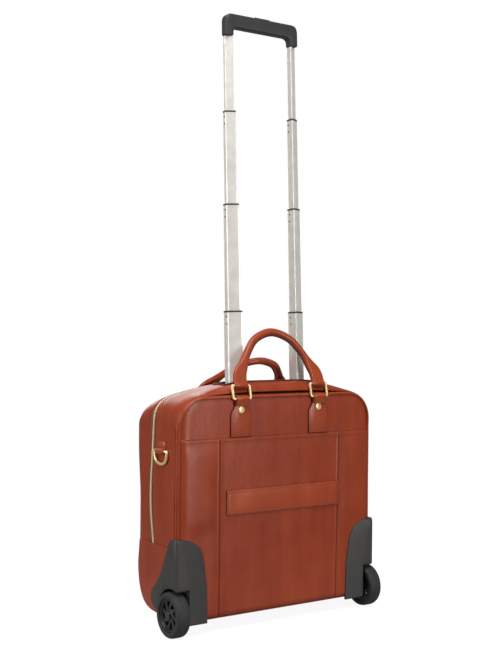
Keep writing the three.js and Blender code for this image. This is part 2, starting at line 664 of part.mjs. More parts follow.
// The hub: a rim, a boss and eight swept spokes between windows.
const SPOKES = 8;
function hubOutline() {
  const shape = new THREE.Shape();
  shape.absarc(0, 0, WHEEL.rim - GAP, 0, 2 * Math.PI);
  const bore = new THREE.Path();
  bore.absarc(0, 0, AXLE_RADIUS + GAP, 0, 2 * Math.PI);
  shape.holes.push(bore);
  const polar = (radius, angle) => new THREE.Vector2(radius * Math.cos(angle), radius * Math.sin(angle));
  for (let spoke = 0; spoke < SPOKES; spoke += 1) {
    const start = (spoke * 2 * Math.PI) / SPOKES;
    shape.holes.push(new THREE.Path([
      polar(12, start + 0.1), polar(17, start + 0.28), polar(22, start + 0.3), polar(22, start + 0.85),
      polar(17, start + 0.78), polar(12, start + 0.5),
    ]));
  }
  return shape;
}
const hub = extruded(hubOutline(), 2 * tread - 5, 10);
hub.rotateY(Math.PI / 2);
hub.translate(WHEEL.x - tread + 2.5, BACK_Y + WHEEL.depth, WHEEL.radius);
addPair('wheel_hub', hub, plastic);

const pin = barAlongX(WHEEL.depth, WHEEL.radius, AXLE_RADIUS, ARCH.inner - ARCH.wall - 1, WHEEL.x + tread - 2, 16);
const capFrom = WHEEL.x + tread - 2.2;
const cap = barAlongX(WHEEL.depth, WHEEL.radius, 7, capFrom, WHEEL.x + tread - 0.6, 16);
const nut = barAlongX(WHEEL.depth, WHEEL.radius, 5.6, ARCH.inner - ARCH.wall - 5, ARCH.inner - ARCH.wall - GAP, 6);
const axle = solidOf(pin).add(solidOf(cap)).add(solidOf(nut));
addPair('axle', geometryOf(axle), steel);

const foot = new THREE.CylinderGeometry(FOOT.radius, FOOT.radius - 2, FOOT.top, 20);
foot.rotateX(Math.PI / 2);
foot.translate(FOOT.x, BACK_Y + FOOT.depth, FOOT.top / 2);
addPair('foot', foot, rubber);

// ---- zip sliders and pulls ------------------------------------------------------------------------------------------

// The sliders' own frame: its origin is on the zip's middle, and it tilts with the slope of the top there.
const zipTop = new THREE.Group();
zipTop.position.set(0, BACK_Y + ZIP_TOP.depth, ZIP_TOP.z);
zipTop.rotation.x = -THREE.MathUtils.degToRad(ZIP_TOP.slopeDegrees);
model.add(zipTop);

const sliderBase = 0.5;
const sliderTop = sliderBase + ZIP_SLIDER.height;
const pullZ = sliderTop + ZIP_SLIDER.barAbove;

// A part of the right slider or pull, `half` either side of the zip's middle.
function zipBlock(x0, x1, half, z0, z1) {
  return solidOf(block(x0, x1, -BACK_Y - half, -BACK_Y + half, z0, z1));
}

function zipBar(radius, half) {
  return solidOf(barAlongY(ZIP_SLIDER.x, pullZ, radius, -BACK_Y - half, -BACK_Y + half, 12));
}

// The slider carries a short bar between two cheeks, and the pull's eye turns on that bar.
const cheekInner = ZIP_PULL.neckHalf + GAP;
const cheekOuter = cheekInner + ZIP_SLIDER.cheek;
const cheekHalf = ZIP_PULL.eyeRadius - 0.2;
const cheekTop = pullZ + ZIP_SLIDER.barRadius + 0.5;
const cheeks = zipBlock(ZIP_SLIDER.x - cheekHalf, ZIP_SLIDER.x + cheekHalf, cheekOuter, sliderTop - 1, cheekTop);
const eyeRoom = zipBlock(ZIP_SLIDER.x - 5, ZIP_SLIDER.x + 5, cheekInner, sliderTop, cheekTop + 1);
const sliderBody = zipBlock(
  ZIP_SLIDER.x - ZIP_SLIDER.half, ZIP_SLIDER.x + ZIP_SLIDER.half, ZIP_SLIDER.halfWidth, sliderBase, sliderTop,
);
const slider = sliderBody.add(cheeks.subtract(eyeRoom)).add(zipBar(ZIP_SLIDER.barRadius, cheekOuter));
addPair('zip_slider', geometryOf(slider), brass, zipTop);

const pullLow = pullZ - ZIP_PULL.thick / 2;
const pullHigh = pullZ + ZIP_PULL.thick / 2;
const neckEnd = ZIP_SLIDER.x + ZIP_PULL.neck;
const neck = zipBlock(ZIP_SLIDER.x, neckEnd, ZIP_PULL.neckHalf, pullLow, pullHigh);
const blade = zipBlock(neckEnd - 0.5, ZIP_SLIDER.x + ZIP_PULL.length, ZIP_PULL.halfWidth, pullLow, pullHigh);
const pull = zipBar(ZIP_PULL.eyeRadius, ZIP_PULL.neckHalf)
  .add(neck)
  .add(blade)
  .subtract(zipBar(ZIP_SLIDER.barRadius + GAP, ZIP_PULL.neckHalf + 1));
addPair('zip_pull', geometryOf(pull), brass, zipTop);

export default model;
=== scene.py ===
"""Looks for the rolling laptop case: leather, welts, stitches and zip teeth around the CAD frame."""
import math

import bmesh
import bpy
from mathutils import Matrix, Vector, noise


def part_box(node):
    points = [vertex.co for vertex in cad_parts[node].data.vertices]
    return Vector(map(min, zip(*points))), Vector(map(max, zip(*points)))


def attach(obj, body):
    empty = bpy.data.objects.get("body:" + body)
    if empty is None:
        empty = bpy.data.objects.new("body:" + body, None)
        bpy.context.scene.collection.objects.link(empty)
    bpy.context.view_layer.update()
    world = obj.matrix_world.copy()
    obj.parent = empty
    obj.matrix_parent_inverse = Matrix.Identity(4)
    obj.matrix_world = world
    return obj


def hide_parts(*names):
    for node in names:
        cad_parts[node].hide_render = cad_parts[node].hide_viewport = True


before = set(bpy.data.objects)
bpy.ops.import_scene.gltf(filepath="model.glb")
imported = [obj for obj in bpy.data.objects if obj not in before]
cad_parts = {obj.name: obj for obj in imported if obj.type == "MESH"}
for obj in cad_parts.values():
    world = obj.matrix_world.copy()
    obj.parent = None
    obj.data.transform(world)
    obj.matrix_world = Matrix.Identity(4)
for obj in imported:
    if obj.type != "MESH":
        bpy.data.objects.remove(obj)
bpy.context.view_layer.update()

# ---- driving dimensions, in millimetres; depths are measured forwards from the case's back face --

MM = 0.001
BACK_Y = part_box("back_panel")[0].y / MM
HALF_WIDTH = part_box("back_panel")[1].x / MM

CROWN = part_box("gusset_rear_top")[1].z / MM
DEPTH = 149.0
BACK_SEAM_TOP = 388.0
BACK_CORNER = 50.0
DOME_DEPTH = 24.0
BASE_SEAM = 141.0
FRONT_SEAM_DEPTH = 135.0
FRONT_RADIUS = 24.0
SKIN = 1.6
STITCH_PITCH = 4.7
# How much further forwards the gusset starts down the sides than over the top.
GUSSET_STEP = 9.6
# Above this height a column of the outline runs over the top.
TOP_START = 300.0
ZIP_HALF, ZIP_GAP = 4.2, 0.4
ZIP_TOP_DEPTH, ZIP_TOP_Z, ZIP_SLOPE = 82.0, 401.44, 19.3
SLOT_HALF, SLOT_NEAR, SLOT_FAR = 100.0, 21.0, 55.5
BEZEL_TOP = 390.4
POCKET_TOP = 320.0
POCKET_SEAM = 122.0
ARCH_INNER, ARCH_TOP, ARCH_FRONT = 181.0, 86.0, 58.0
SIDES = (("left", -1), ("right", 1))


def curve(*points, steps=10):
    """Points along a Bezier curve of any degree through its control points."""
    made = []
    for step in range(steps + 1):
        t = step / steps
        level = [Vector(p) for p in points]
        while len(level) > 1:
            level = [a.lerp(b, t) for a, b in zip(level, level[1:])]
        made.append(level[0])
    return made


def chain(*stretches):
    """Joins stretches of points end to end, leaving out repeated ends."""
    made = []
    for stretch in stretches:
        for point in stretch:
            point = Vector(point)
            if not made or (made[-1] - point).length > 1e-4:
                made.append(point)
    return made


def smooth_spline(points, steps=8):
    """Catmull-Rom points through a list of points."""
    points = [Vector(p) for p in points]
    ends = [points[0] * 2 - points[1], *points, points[-1] * 2 - points[-2]]
    made = []
    for a, b, c, d in zip(ends, ends[1:], ends[2:], ends[3:]):
        for step in range(steps):
            t = step / steps
            made.append(0.5 * (2 * b + (c - a) * t + (2 * a - 5 * b + 4 * c - d) * t * t
                               + (3 * b - a - 3 * c + d) * t ** 3))
    return [*made, points[-1]]


def resample(points, spacing):
    """Even spacing along a polyline, keeping its ends."""
    lengths = [0.0]
    for a, b in zip(points, points[1:]):
        lengths.append(lengths[-1] + (b - a).length)
    count = max(1, round(lengths[-1] / spacing))
    made, at = [], 0
    for step in range(count + 1):
        want = lengths[-1] * step / count
        while at < len(points) - 2 and lengths[at + 1] < want:
            at += 1
        share = (want - lengths[at]) / max(lengths[at + 1] - lengths[at], 1e-9)
        made.append(points[at].lerp(points[at + 1], share))
    return made


def read_off(points, value, key=0, give=1):
    """Linear reading of a curve of points sorted by one coordinate."""
    ordered = sorted(points, key=lambda p: p[key])
    if value <= ordered[0][key]:
        return ordered[0][give]
    for a, b in zip(ordered, ordered[1:]):
        if value <= b[key]:
            share = (value - a[key]) / max(b[key] - a[key], 1e-9)
            return a[give] + (b[give] - a[give]) * share
    return ordered[-1][give]


def soft_min(a, b, blend=6.0):
    h = max(blend - abs(a - b), 0.0) / blend
    return min(a, b) - h * h * blend * 0.25


def ease(value, low, high):
    t = min(max((value - low) / (high - low), 0.0), 1.0)
    return t * t * (3 - 2 * t)


# ---- the case's outer form -----------------------------------------------------------------------

FRONT_SHOULDER = curve((148, 290), (148, 330), (141, 366), (124, 381), steps=16)
TOP_LINE = chain([(24, CROWN), (58, 408.5)], curve((58, 408.5), (100, 398), (124, 381)),
                 reversed(FRONT_SHOULDER))
TOE = curve((100, 27.5), (137, 32), (149, 60), (149, 102), steps=16)
FACE_LINE = chain(TOE, curve((149, 102), (134, 195), (148, 290)), FRONT_SHOULDER)
FLOOR_LINE = chain([(0, 24), (100, 27.5)], TOE)
SHOULDER = curve((200, 345), (200, 376), (184, 387), (150, 394), steps=12)
HALF_OUTLINE = chain(
    [(0, CROWN), (50, CROWN)], curve((50, CROWN), (95, CROWN), (150, 394)), reversed(SHOULDER),
    [(200, 345), (200, BASE_SEAM)],
)
LOWER_HALF = chain([(200, BASE_SEAM), (200, 38)], curve((200, 38), (200, 24), (188, 24), steps=5),
                   [(188, 24), (0, 24)])
ZIP_COURSE = smooth_spline([(ZIP_TOP_DEPTH, 440), (ZIP_TOP_DEPTH, 385), (84, 335), (88, 290), (92, 240),
                            (91, 195), (82, BASE_SEAM)])


def zip_depth(z):
    return read_off(ZIP_COURSE, z, key=1, give=0)


TAB_X = 81.0


def corner_radius(z):
    """The front's upright corners are rounder low down, where the soft walls draw in."""
    return FRONT_RADIUS + 9 * (1 - ease(z, 210, 310))


def front_depth(x, z):
    """Depth of the rounded front at a point seen from the front. The middle sinks in, the edges don't."""
    radius = corner_radius(z)
    past = min(max(abs(x) - (HALF_WIDTH - radius), 0.0), radius)
    face = read_off(FACE_LINE, z, key=1, give=0)
    face += (DEPTH - face) * ease(abs(x), 110, 180) * (1 - ease(z, 270, 320))
    return face - (radius - math.sqrt(radius ** 2 - past ** 2))


def back_corner(x, z):
    """Pulls a point in to the back panel's rounded top corner."""
    z = min(z, BACK_SEAM_TOP)
    centre = Vector((HALF_WIDTH - BACK_CORNER, BACK_SEAM_TOP - BACK_CORNER))
    point = Vector((abs(x), z))
    away = point - centre
    if away.x > 0 and away.y > 0 and away.length > BACK_CORNER:
        point = centre + away.normalized() * BACK_CORNER
    return math.copysign(point.x, x), point.y


def domed(z, top):
    """The height where a falling outline and a falling top line meet in one rounded shoulder."""
    across, along = CROWN - z, CROWN - top
    steepest = max(across, along)
    both = (max(across, 0.0) ** 1.9 + max(along, 0.0) ** 1.9) ** (1 / 1.9)
    return CROWN - steepest - (both - steepest) * (1 - ease(across, 30, 110))


def section(x, z, depth):
    """Moves a point of the full outline to where the wall lies at a depth."""
    radius = corner_radius(z)
    past = min(max(depth - (DEPTH - radius), 0.0), radius)
    wide = x * (HALF_WIDTH - radius + math.sqrt(radius ** 2 - past ** 2)) / HALF_WIDTH
    if z < BASE_SEAM:
        floor = read_off(FLOOR_LINE, depth)
        return Vector((wide, -soft_min(-z, -floor)))
    high = domed(z, read_off(TOP_LINE, max(depth, DOME_DEPTH)))
    if depth >= DOME_DEPTH:
        return Vector((wide, high))
    share = math.sqrt(1 - (1 - depth / DOME_DEPTH) ** 2)
    near_x, near_z = back_corner(x, z)
    return Vector((near_x, near_z)).lerp(Vector((wide, high)), share)


def wander(x, depth, z, size=0.7, scale=0.012):
    """A slow, small unevenness of the leather, in millimetres."""
    return size * noise.noise(Vector((x * scale, depth * scale, z * scale)))


# ---- mesh helpers --------------------------------------------------------------------------------

def place(x, depth, z):
    return Vector((x * MM, (BACK_Y + depth) * MM, z * MM))


def mirrored(values):
    """Values from zero outwards, with the same ones below zero before them."""
    return [-value for value in reversed(values[1:])] + values


def new_piece(mesh, finish, body, replaces=(), smooth=True):
    """Links a mesh as a piece of the same name that rides on a body."""
    piece = bpy.data.objects.new(mesh.name, mesh)
    bpy.context.scene.collection.objects.link(piece)
    for material in finish if isinstance(finish, (list, tuple)) else [finish]:
        mesh.materials.append(material)
    if smooth:
        mesh.polygons.foreach_set("use_smooth", [True] * len(mesh.polygons))
    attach(piece, body)
    if replaces:
        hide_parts(*replaces)
    return piece


def mesh_of(name, points, faces, dye_and_shade=None):
    """A mesh from points in metres, with a per-point darkening from 0 to 1 that gives dyed edges and painted
    shade in seams and recesses.
    """
    mesh = bpy.data.meshes.new(name)
    mesh.from_pydata([tuple(p) for p in points], [], faces)
    values = dye_and_shade if dye_and_shade is not None else [0.0] * len(points)
    layer = mesh.attributes.new("dye_and_shade", "FLOAT", "POINT")
    layer.data.foreach_set("value", values)
    return mesh


def outward(mesh):
    work = bmesh.new()
    work.from_mesh(mesh)
    bmesh.ops.recalc_face_normals(work, faces=work.faces)
    work.to_mesh(mesh)
    work.free()


def applied(piece):
    """Makes the piece's modifiers part of its mesh."""
    graph = bpy.context.evaluated_depsgraph_get()
    graph.update()
    made = bpy.data.meshes.new_from_object(piece.evaluated_get(graph))
    old = piece.data
    piece.modifiers.clear()
    piece.data = made
    bpy.data.meshes.remove(old)
    return piece


def thicken(piece, thickness, inward=True):
    solid = piece.modifiers.new("thickness", "SOLIDIFY")
    solid.thickness = thickness * MM
    solid.offset = -1 if inward else 1
    solid.use_even_offset = True
    return applied(piece)


def grid_mesh(name, rows, keep=None, dye_and_shade=None):
    """A sheet of four-sided faces from rows of points; keep says which faces to make."""
    width = len(rows[0])
    points = [p for row in rows for p in row]
    faces = []
    for r in range(len(rows) - 1):
        for c in range(width - 1):
            if keep is None or keep(r, c):
                a = r * width + c
                faces.append((a, a + 1, a + width + 1, a + width))
    mesh = mesh_of(name, points, faces, [v for row in dye_and_shade for v in row] if dye_and_shade else None)
    work = bmesh.new()
    work.from_mesh(mesh)
    loose = [v for v in work.verts if not v.link_faces]
    bmesh.ops.delete(work, geom=loose, context="VERTS")
    work.to_mesh(mesh)
    work.free()
    return mesh


def face_towards(mesh, direction):
    """Turns an open sheet's faces so that most of them look along a direction, or away from a point."""
    mesh.calc_loop_triangles()
    total = sum((p.normal.dot(direction(p.center)) * p.area) for p in mesh.polygons)
    if total < 0:
        mesh.flip_normals()


def sweep(name, path, section_at, across, closed=False):
    """Carries a section along a path. section_at(share) gives (u, v) points; across is the direction of v."""
    count = len(path)
    rings = []
    for i, point in enumerate(path):
        if closed:
            ahead, behind = path[(i + 1) % count], path[i - 1]
        else:
            ahead, behind = path[min(i + 1, count - 1)], path[max(i - 1, 0)]
        along = (ahead - behind).normalized()
        v_dir = (across(i) if callable(across) else across).normalized()
        u_dir = along.cross(v_dir).normalized()
        v_dir = u_dir.cross(along).normalized()
        rings.append([point + u_dir * u * MM + v_dir * v * MM for u, v in section_at(i / max(count - 1, 1))])
    sides = len(rings[0])
    faces = []
    for r in range(count if closed else count - 1):
        for s in range(sides):
            t = (s + 1) % sides
            n = (r + 1) % count
            faces.append((r * sides + s, r * sides + t, n * sides + t, n * sides + s))
    if not closed:
        faces.append(tuple(reversed(range(sides))))
        faces.append(tuple((count - 1) * sides + s for s in range(sides)))
    mesh = mesh_of(name, [p for ring in rings for p in ring], faces)
    outward(mesh)
    return mesh


def circle(radius, count, u=0.0, v=0.0):
    """Points round a circle about (u, v)."""
    turns = [2 * math.pi * k / count for k in range(count)]
    return [(u + radius * math.cos(a), v + radius * math.sin(a)) for a in turns]


def oval(half_u, half_v, sides=12):
    return [(half_u * math.cos(2 * math.pi * s / sides), half_v * math.sin(2 * math.pi * s / sides))
            for s in range(sides)]


def tube(name, path, radius, across, closed=False, sides=10):
    return sweep(name, path, lambda share: oval(radius, radius, sides), across, closed)


def prism(name, outline, to_space, low, high, bevel=0.5, segments=2, holes=()):
    """An outline carried from low to high and bevelled. to_space turns (u, v, w) into a point."""
    work = bmesh.new()
    rings = []
    for loop in (outline, *holes):
        verts = [work.verts.new(to_space(u, v, low)) for u, v in loop]
        rings.append([work.edges.new((a, b)) for a, b in zip(verts, verts[1:] + verts[:1])])
    flat = [edge for ring in rings for edge in ring]
    filled = bmesh.ops.triangle_fill(work, use_beauty=True, use_dissolve=False, edges=flat)
    faces = [f for f in filled["geom"] if isinstance(f, bmesh.types.BMFace)]
    raised = bmesh.ops.extrude_face_region(work, geom=faces)
    top = [v for v in raised["geom"] if isinstance(v, bmesh.types.BMVert)]
    shift = to_space(0, 0, high) - to_space(0, 0, low)
    bmesh.ops.translate(work, verts=top, vec=shift)
    bmesh.ops.recalc_face_normals(work, faces=work.faces)
    bmesh.ops.dissolve_limit(work, angle_limit=math.radians(1), verts=work.verts, edges=work.edges)
    if bevel:
        sharp = [e for e in work.edges if e.is_manifold and e.calc_face_angle() > math.radians(35)]
        bmesh.ops.bevel(work, geom=sharp, offset=bevel * MM, segments=segments, profile=0.5, affect="EDGES")
    mesh = bpy.data.meshes.new(name)
    work.to_mesh(mesh)
    work.free()
    layer = mesh.attributes.new("dye_and_shade", "FLOAT", "POINT")
    layer.data.foreach_set("value", [0.0] * len(mesh.vertices))
    return mesh


def softened_node(node, name, finish, body, bevel=0.6, segments=2, limit=28):
    """A piece with the shape of a CAD node and rounded edges."""
    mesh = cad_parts[node].data.copy()
    mesh.name = name
    mesh.materials.clear()
    work = bmesh.new()
    work.from_mesh(mesh)
    bmesh.ops.remove_doubles(work, verts=work.verts, dist=1e-6)
    bmesh.ops.dissolve_limit(work, angle_limit=math.radians(2), verts=work.verts, edges=work.edges)
    for face in work.faces:
        face.smooth = False
    work.to_mesh(mesh)
    work.free()
    piece = new_piece(mesh, finish, body, [node], smooth=False)
    rounded = piece.modifiers.new("edges", "BEVEL")
    rounded.width = bevel * MM
    rounded.segments = segments
    rounded.limit_method = "ANGLE"
    rounded.angle_limit = math.radians(limit)
    rounded.harden_normals = True
    return smooth_by_angle(applied(piece), 32)


def smooth_by_angle(piece, degrees):
    mesh = piece.data
    mesh.polygons.foreach_set("use_smooth", [True] * len(mesh.polygons))
    work = bmesh.new()
    work.from_mesh(mesh)
    for edge in work.edges:
        edge.smooth = not edge.is_manifold or edge.calc_face_angle() < math.radians(degrees)
    work.to_mesh(mesh)
    work.free()
    return piece


def lathe_x(name, profile, centre, sides=64):
    """A solid of revolution about X through a centre in metres, from a closed (radius, x) profile."""
    rings = []
    for s in range(sides):
        a = 2 * math.pi * s / sides
        rings.append([centre + Vector((x, r * math.cos(a), r * math.sin(a))) * MM for r, x in profile])
    count = len(profile)
    faces = []
    for s in range(sides):
        t = (s + 1) % sides
        for p in range(count):
            q = (p + 1) % count
            faces.append((s * count + p, s * count + q, t * count + q, t * count + p))
    mesh = mesh_of(name, [p for ring in rings for p in ring], faces)
    outward(mesh)
    return mesh


def stitch_mesh(name, runs, length=3.2, gap=1.5, radius=0.42):
    """Thread stitches along runs of (point, outward normal) pairs, in metres."""
    points, faces = [], []
    for run in runs:
        line = resample([p for p, n in run], (length + gap) * MM)
        normals = [n for p, n in run]
        for i, (a, b) in enumerate(zip(line, line[1:])):
            nearest = int(i / max(len(line) - 1, 1) * len(normals))
            normal = normals[min(nearest, len(normals) - 1)].normalized()
            along = (b - a).normalized()
            side = along.cross(normal).normalized()
            middle = (a + b) / 2
            base = len(points)
            half = length / 2 * MM
            for share, grow in ((-1.0, 0.35), (-0.6, 1.0), (0.6, 1.0), (1.0, 0.35)):
                centre = middle + along * half * share
                lift = normal * radius * MM * (0.55 if grow == 1.0 else 0.1)
                for u, v in ((-1, 0), (0, 1), (1, 0), (0, -1)):
                    points.append(centre + lift + (side * u + normal * v) * radius * grow * MM)
            for ring in range(3):
                for s in range(4):
                    t = (s + 1) % 4
                    p = base + ring * 4
                    faces.append((p + s, p + t, p + 4 + t, p + 4 + s))
            faces.append(tuple(base + s for s in (3, 2, 1, 0)))
            faces.append(tuple(base + 12 + s for s in range(4)))
    mesh = mesh_of(name, points, faces)
    outward(mesh)
    return mesh


def dome_mesh(name, centre, direction, radius, height, sides=20, rings=5):
    """A low rounded head on a flat seat, such as a rivet's."""
    up = direction.normalized()
    side = up.orthogonal().normalized()
    over = up.cross(side)
    points, faces = [], []
    for ring in range(rings):
        lift = ring / (rings - 1) * math.pi / 2 * 0.92
        for s in range(sides):
            a = 2 * math.pi * s / sides
            reach = (side * math.cos(a) + over * math.sin(a)) * radius * math.cos(lift) * MM
            points.append(centre + reach + up * height * math.sin(lift) * MM)
    for ring in range(rings - 1):
        for s in range(sides):
            t = (s + 1) % sides
            faces.append((ring * sides + s, ring * sides + t, (ring + 1) * sides + t, (ring + 1) * sides + s))
    faces.append(tuple(reversed(range(sides))))
    faces.append(tuple((rings - 1) * sides + s for s in range(sides)))
    mesh = mesh_of(name, points, faces)
    outward(mesh)
    return mesh


def joined(name, meshes):
    """One mesh from several."""
    work = bmesh.new()
    for mesh in meshes:
        work.from_mesh(mesh)
        bpy.data.meshes.remove(mesh)
    made = bpy.data.meshes.new(name)
    work.to_mesh(made)
    work.free()
    return made


# ---- materials -----------------------------------------------------------------------------------

def node(tree, kind, inputs=None, **settings):
    made = tree.nodes.new(kind)
    for key, value in settings.items():
        setattr(made, key, value)
    for key, value in (inputs or {}).items():
        if isinstance(value, bpy.types.NodeSocket):
            tree.links.new(value, made.inputs[key])
        else:
            made.inputs[key].default_value = value
    return made


def shader_of(name, roughness, metallic=0.0):
    material = bpy.data.materials.new(name)
    material.use_nodes = True
    tree = material.node_tree
    shader = tree.nodes["Principled BSDF"]
    shader.inputs["Roughness"].default_value = roughness
    shader.inputs["Metallic"].default_value = metallic
    spot = node(tree, "ShaderNodeTexCoord").outputs["Object"]
    return material, tree, shader, spot


def stretched(tree, spot, scale):
    return node(tree, "ShaderNodeMapping", {"Vector": spot, "Scale": scale}).outputs["Vector"]


def noise_of(tree, spot, scale, detail=3.0, rough=0.55):
    values = {"Vector": spot, "Scale": scale, "Detail": detail, "Roughness": rough}
    return node(tree, "ShaderNodeTexNoise", values).outputs["Fac"]


def spread(tree, value, low, high, to_low=0.0, to_high=1.0):
    values = {"Value": value, "From Min": low, "From Max": high, "To Min": to_low, "To Max": to_high}
    return node(tree, "ShaderNodeMapRange", values).outputs["Result"]


def maths(tree, what, a, b):
    return node(tree, "ShaderNodeMath", {0: a, 1: b}, operation=what).outputs[0]


def mixed(tree, share, a, b, blend="MIX"):
    made = tree.nodes.new("ShaderNodeMix")
    made.data_type = "RGBA"
    made.blend_type = blend
    made.clamp_factor = True
    for socket, value in ((made.inputs[0], share), (made.inputs[6], a), (made.inputs[7], b)):
        if isinstance(value, bpy.types.NodeSocket):
            tree.links.new(value, socket)
        else:
            socket.default_value = (*value, 1.0) if isinstance(value, tuple) else value
    return made.outputs[2]


def bump_on(tree, shader, height, distance, strength=1.0):
    made = node(tree, "ShaderNodeBump", {"Height": height, "Distance": distance, "Strength": strength})
    tree.links.new(made.outputs["Normal"], shader.inputs["Normal"])


def leather(name, light, deep, edge=(0.035, 0.012, 0.008), gloss=0.40, streaks=0.55):
    """Polished cowhide: cloudy colour with faint upright streaks, fine pores, and dark dyed edges, with
    painted shade in seams and recesses from the same darkening attribute.
    """
    material, tree, shader, spot = shader_of(name, gloss)
    cloud = spread(tree, noise_of(tree, spot, 9.0, 4.0), 0.32, 0.68)
    streak = spread(tree, noise_of(tree, stretched(tree, spot, (42, 42, 5)), 1.0, 4.0, 0.6), 0.3, 0.7)
    clouds = maths(tree, "MULTIPLY", cloud, 1 - streaks)
    tone = maths(tree, "ADD", clouds, maths(tree, "MULTIPLY", streak, streaks))
    colour = mixed(tree, tone, deep, light)
    speck = spread(tree, noise_of(tree, spot, 420.0, 2.0), 0.35, 0.75, 0.0, 0.16)
    colour = mixed(tree, speck, colour, deep)
    # The mesh attribute darkens the colour towards the edge colour: partly dyed cut edges, partly painted
    # shade in seam grooves, along the strap's rims and down the slot.
    dye_and_shade = node(tree, "ShaderNodeAttribute", attribute_name="dye_and_shade").outputs["Fac"]
    colour = mixed(tree, dye_and_shade, colour, edge)
    tree.links.new(colour, shader.inputs["Base Color"])
    polish = spread(tree, noise_of(tree, spot, 26.0, 3.0), 0.3, 0.7, gloss - 0.05, gloss + 0.07)
    tree.links.new(polish, shader.inputs["Roughness"])
    shader.inputs["Specular IOR Level"].default_value = 0.30
    cells = node(tree, "ShaderNodeTexVoronoi", {"Vector": spot, "Scale": 620.0}, feature="SMOOTH_F1")
    pores = cells.outputs["Distance"]
    creases = noise_of(tree, stretched(tree, spot, (90, 90, 40)), 1.0, 3.0)
    height = maths(tree, "ADD", maths(tree, "MULTIPLY", pores, 0.22), creases)
    bump_on(tree, shader, height, 0.0006, 0.55)
    return material


def metal(name, colour, roughness, brushing=None, strength=0.25, metallic=1.0):
    material, tree, shader, spot = shader_of(name, roughness, metallic)
    tarnish = spread(tree, noise_of(tree, spot, 60.0), 0.3, 0.7)
    dull = tuple(c * 0.86 for c in colour)
    tree.links.new(mixed(tree, tarnish, dull, colour), shader.inputs["Base Color"])
    grain_spot = stretched(tree, spot, brushing) if brushing else spot
    grain = noise_of(tree, grain_spot, 1.0 if brushing else 700.0, 2.0)
    polish = spread(tree, grain, 0.3, 0.7, roughness - 0.05, roughness + 0.06)
    tree.links.new(polish, shader.inputs["Roughness"])
    bump_on(tree, shader, grain, 0.0001, strength)
    return material


def moulded(name, colour, roughness, grain=1300.0, depth=0.00018):
    """Moulded plastic or rubber with a fine sparked grain."""
    material, tree, shader, spot = shader_of(name, roughness)
    patch = spread(tree, noise_of(tree, spot, 22.0), 0.3, 0.7)
    tree.links.new(mixed(tree, patch, tuple(c * 0.82 for c in colour), colour), shader.inputs["Base Color"])
    fine = noise_of(tree, spot, grain, 2.0)
    polish = spread(tree, fine, 0.3, 0.7, roughness - 0.04, roughness + 0.08)
    tree.links.new(polish, shader.inputs["Roughness"])
    bump_on(tree, shader, fine, depth, 0.6)
    return material


def woven(name, colour, pitch, roughness=0.8):
    """Cloth with crossing threads at a pitch in millimetres."""
    material, tree, shader, spot = shader_of(name, roughness)
    turns = 2 * math.pi / (pitch * MM * 20)
    waves = []
    for direction in ("DIAGONAL", "Z"):
        values = {"Vector": spot, "Scale": turns, "Distortion": 0.4}
        waves.append(node(tree, "ShaderNodeTexWave", values, bands_direction=direction).outputs["Fac"])
    weave = maths(tree, "MULTIPLY", *waves)
    tree.links.new(mixed(tree, weave, tuple(c * 0.55 for c in colour), colour), shader.inputs["Base Color"])
    shader.inputs["Sheen Weight"].default_value = 0.15
    bump_on(tree, shader, weave, pitch * MM * 0.3, 0.7)
    return material


CASE_LEATHER = leather("case_leather", (0.345, 0.052, 0.014), (0.220, 0.027, 0.008), gloss=0.34)
TRIM_LEATHER = leather("trim_leather", (0.400, 0.072, 0.024), (0.280, 0.040, 0.013), gloss=0.28, streaks=0.3)
EDGE_LEATHER = leather("edge_leather", (0.085, 0.022, 0.013), (0.050, 0.014, 0.009), gloss=0.42, streaks=0.2)
LINING = woven("lining_cloth", (0.10, 0.075, 0.055), 0.7)
TAPE = woven("zip_tape_cloth", (0.045, 0.024, 0.018), 0.6)
THREAD = woven("thread", (0.24, 0.075, 0.036), 0.35, 0.55)
BRASS = metal("brass", (1.0, 0.74, 0.38), 0.32, metallic=0.6)
TEETH = metal("zip_teeth", (1.0, 0.80, 0.48), 0.50, metallic=0.0)
POLE_METAL = metal("pole_metal", (0.95, 0.91, 0.84), 0.34, (1100, 1100, 14), 0.35, metallic=0.4)

HOUSING = moulded("housing_plastic", (0.034, 0.032, 0.030), 0.50, 900.0)
HUB = moulded("hub_plastic", (0.020, 0.020, 0.021), 0.36)
RUBBER = moulded("tyre_rubber", (0.018, 0.018, 0.017), 0.66, 700.0, 0.0003)
GRIP = moulded("grip_plastic", (0.036, 0.036, 0.037), 0.40)
BOARD = moulded("board", (0.03, 0.028, 0.026), 0.75, 300.0)


# ---- camera, floor and lights --------------------------------------------------------------------

def make_camera():
    yaw, roll = math.radians(34), math.radians(0.48)
    right = Vector((math.cos(yaw), -math.sin(yaw), 0))
    ahead = Vector((math.sin(yaw), math.cos(yaw), 0))
    across = math.cos(roll) * right + math.sin(roll) * Vector((0, 0, 1))
    up = -math.sin(roll) * right + math.cos(roll) * Vector((0, 0, 1))
    turn = Matrix((across, up, -ahead)).transposed().to_4x4()
    lens = bpy.data.cameras.new("camera")
    lens.lens, lens.sensor_width = 60.72, 36
    camera = bpy.data.objects.new("camera", lens)
    camera.matrix_world = Matrix.Translation((-1.1003, -1.58215, 0.5068)) @ turn
    bpy.context.scene.collection.objects.link(camera)
    bpy.context.scene.camera = camera


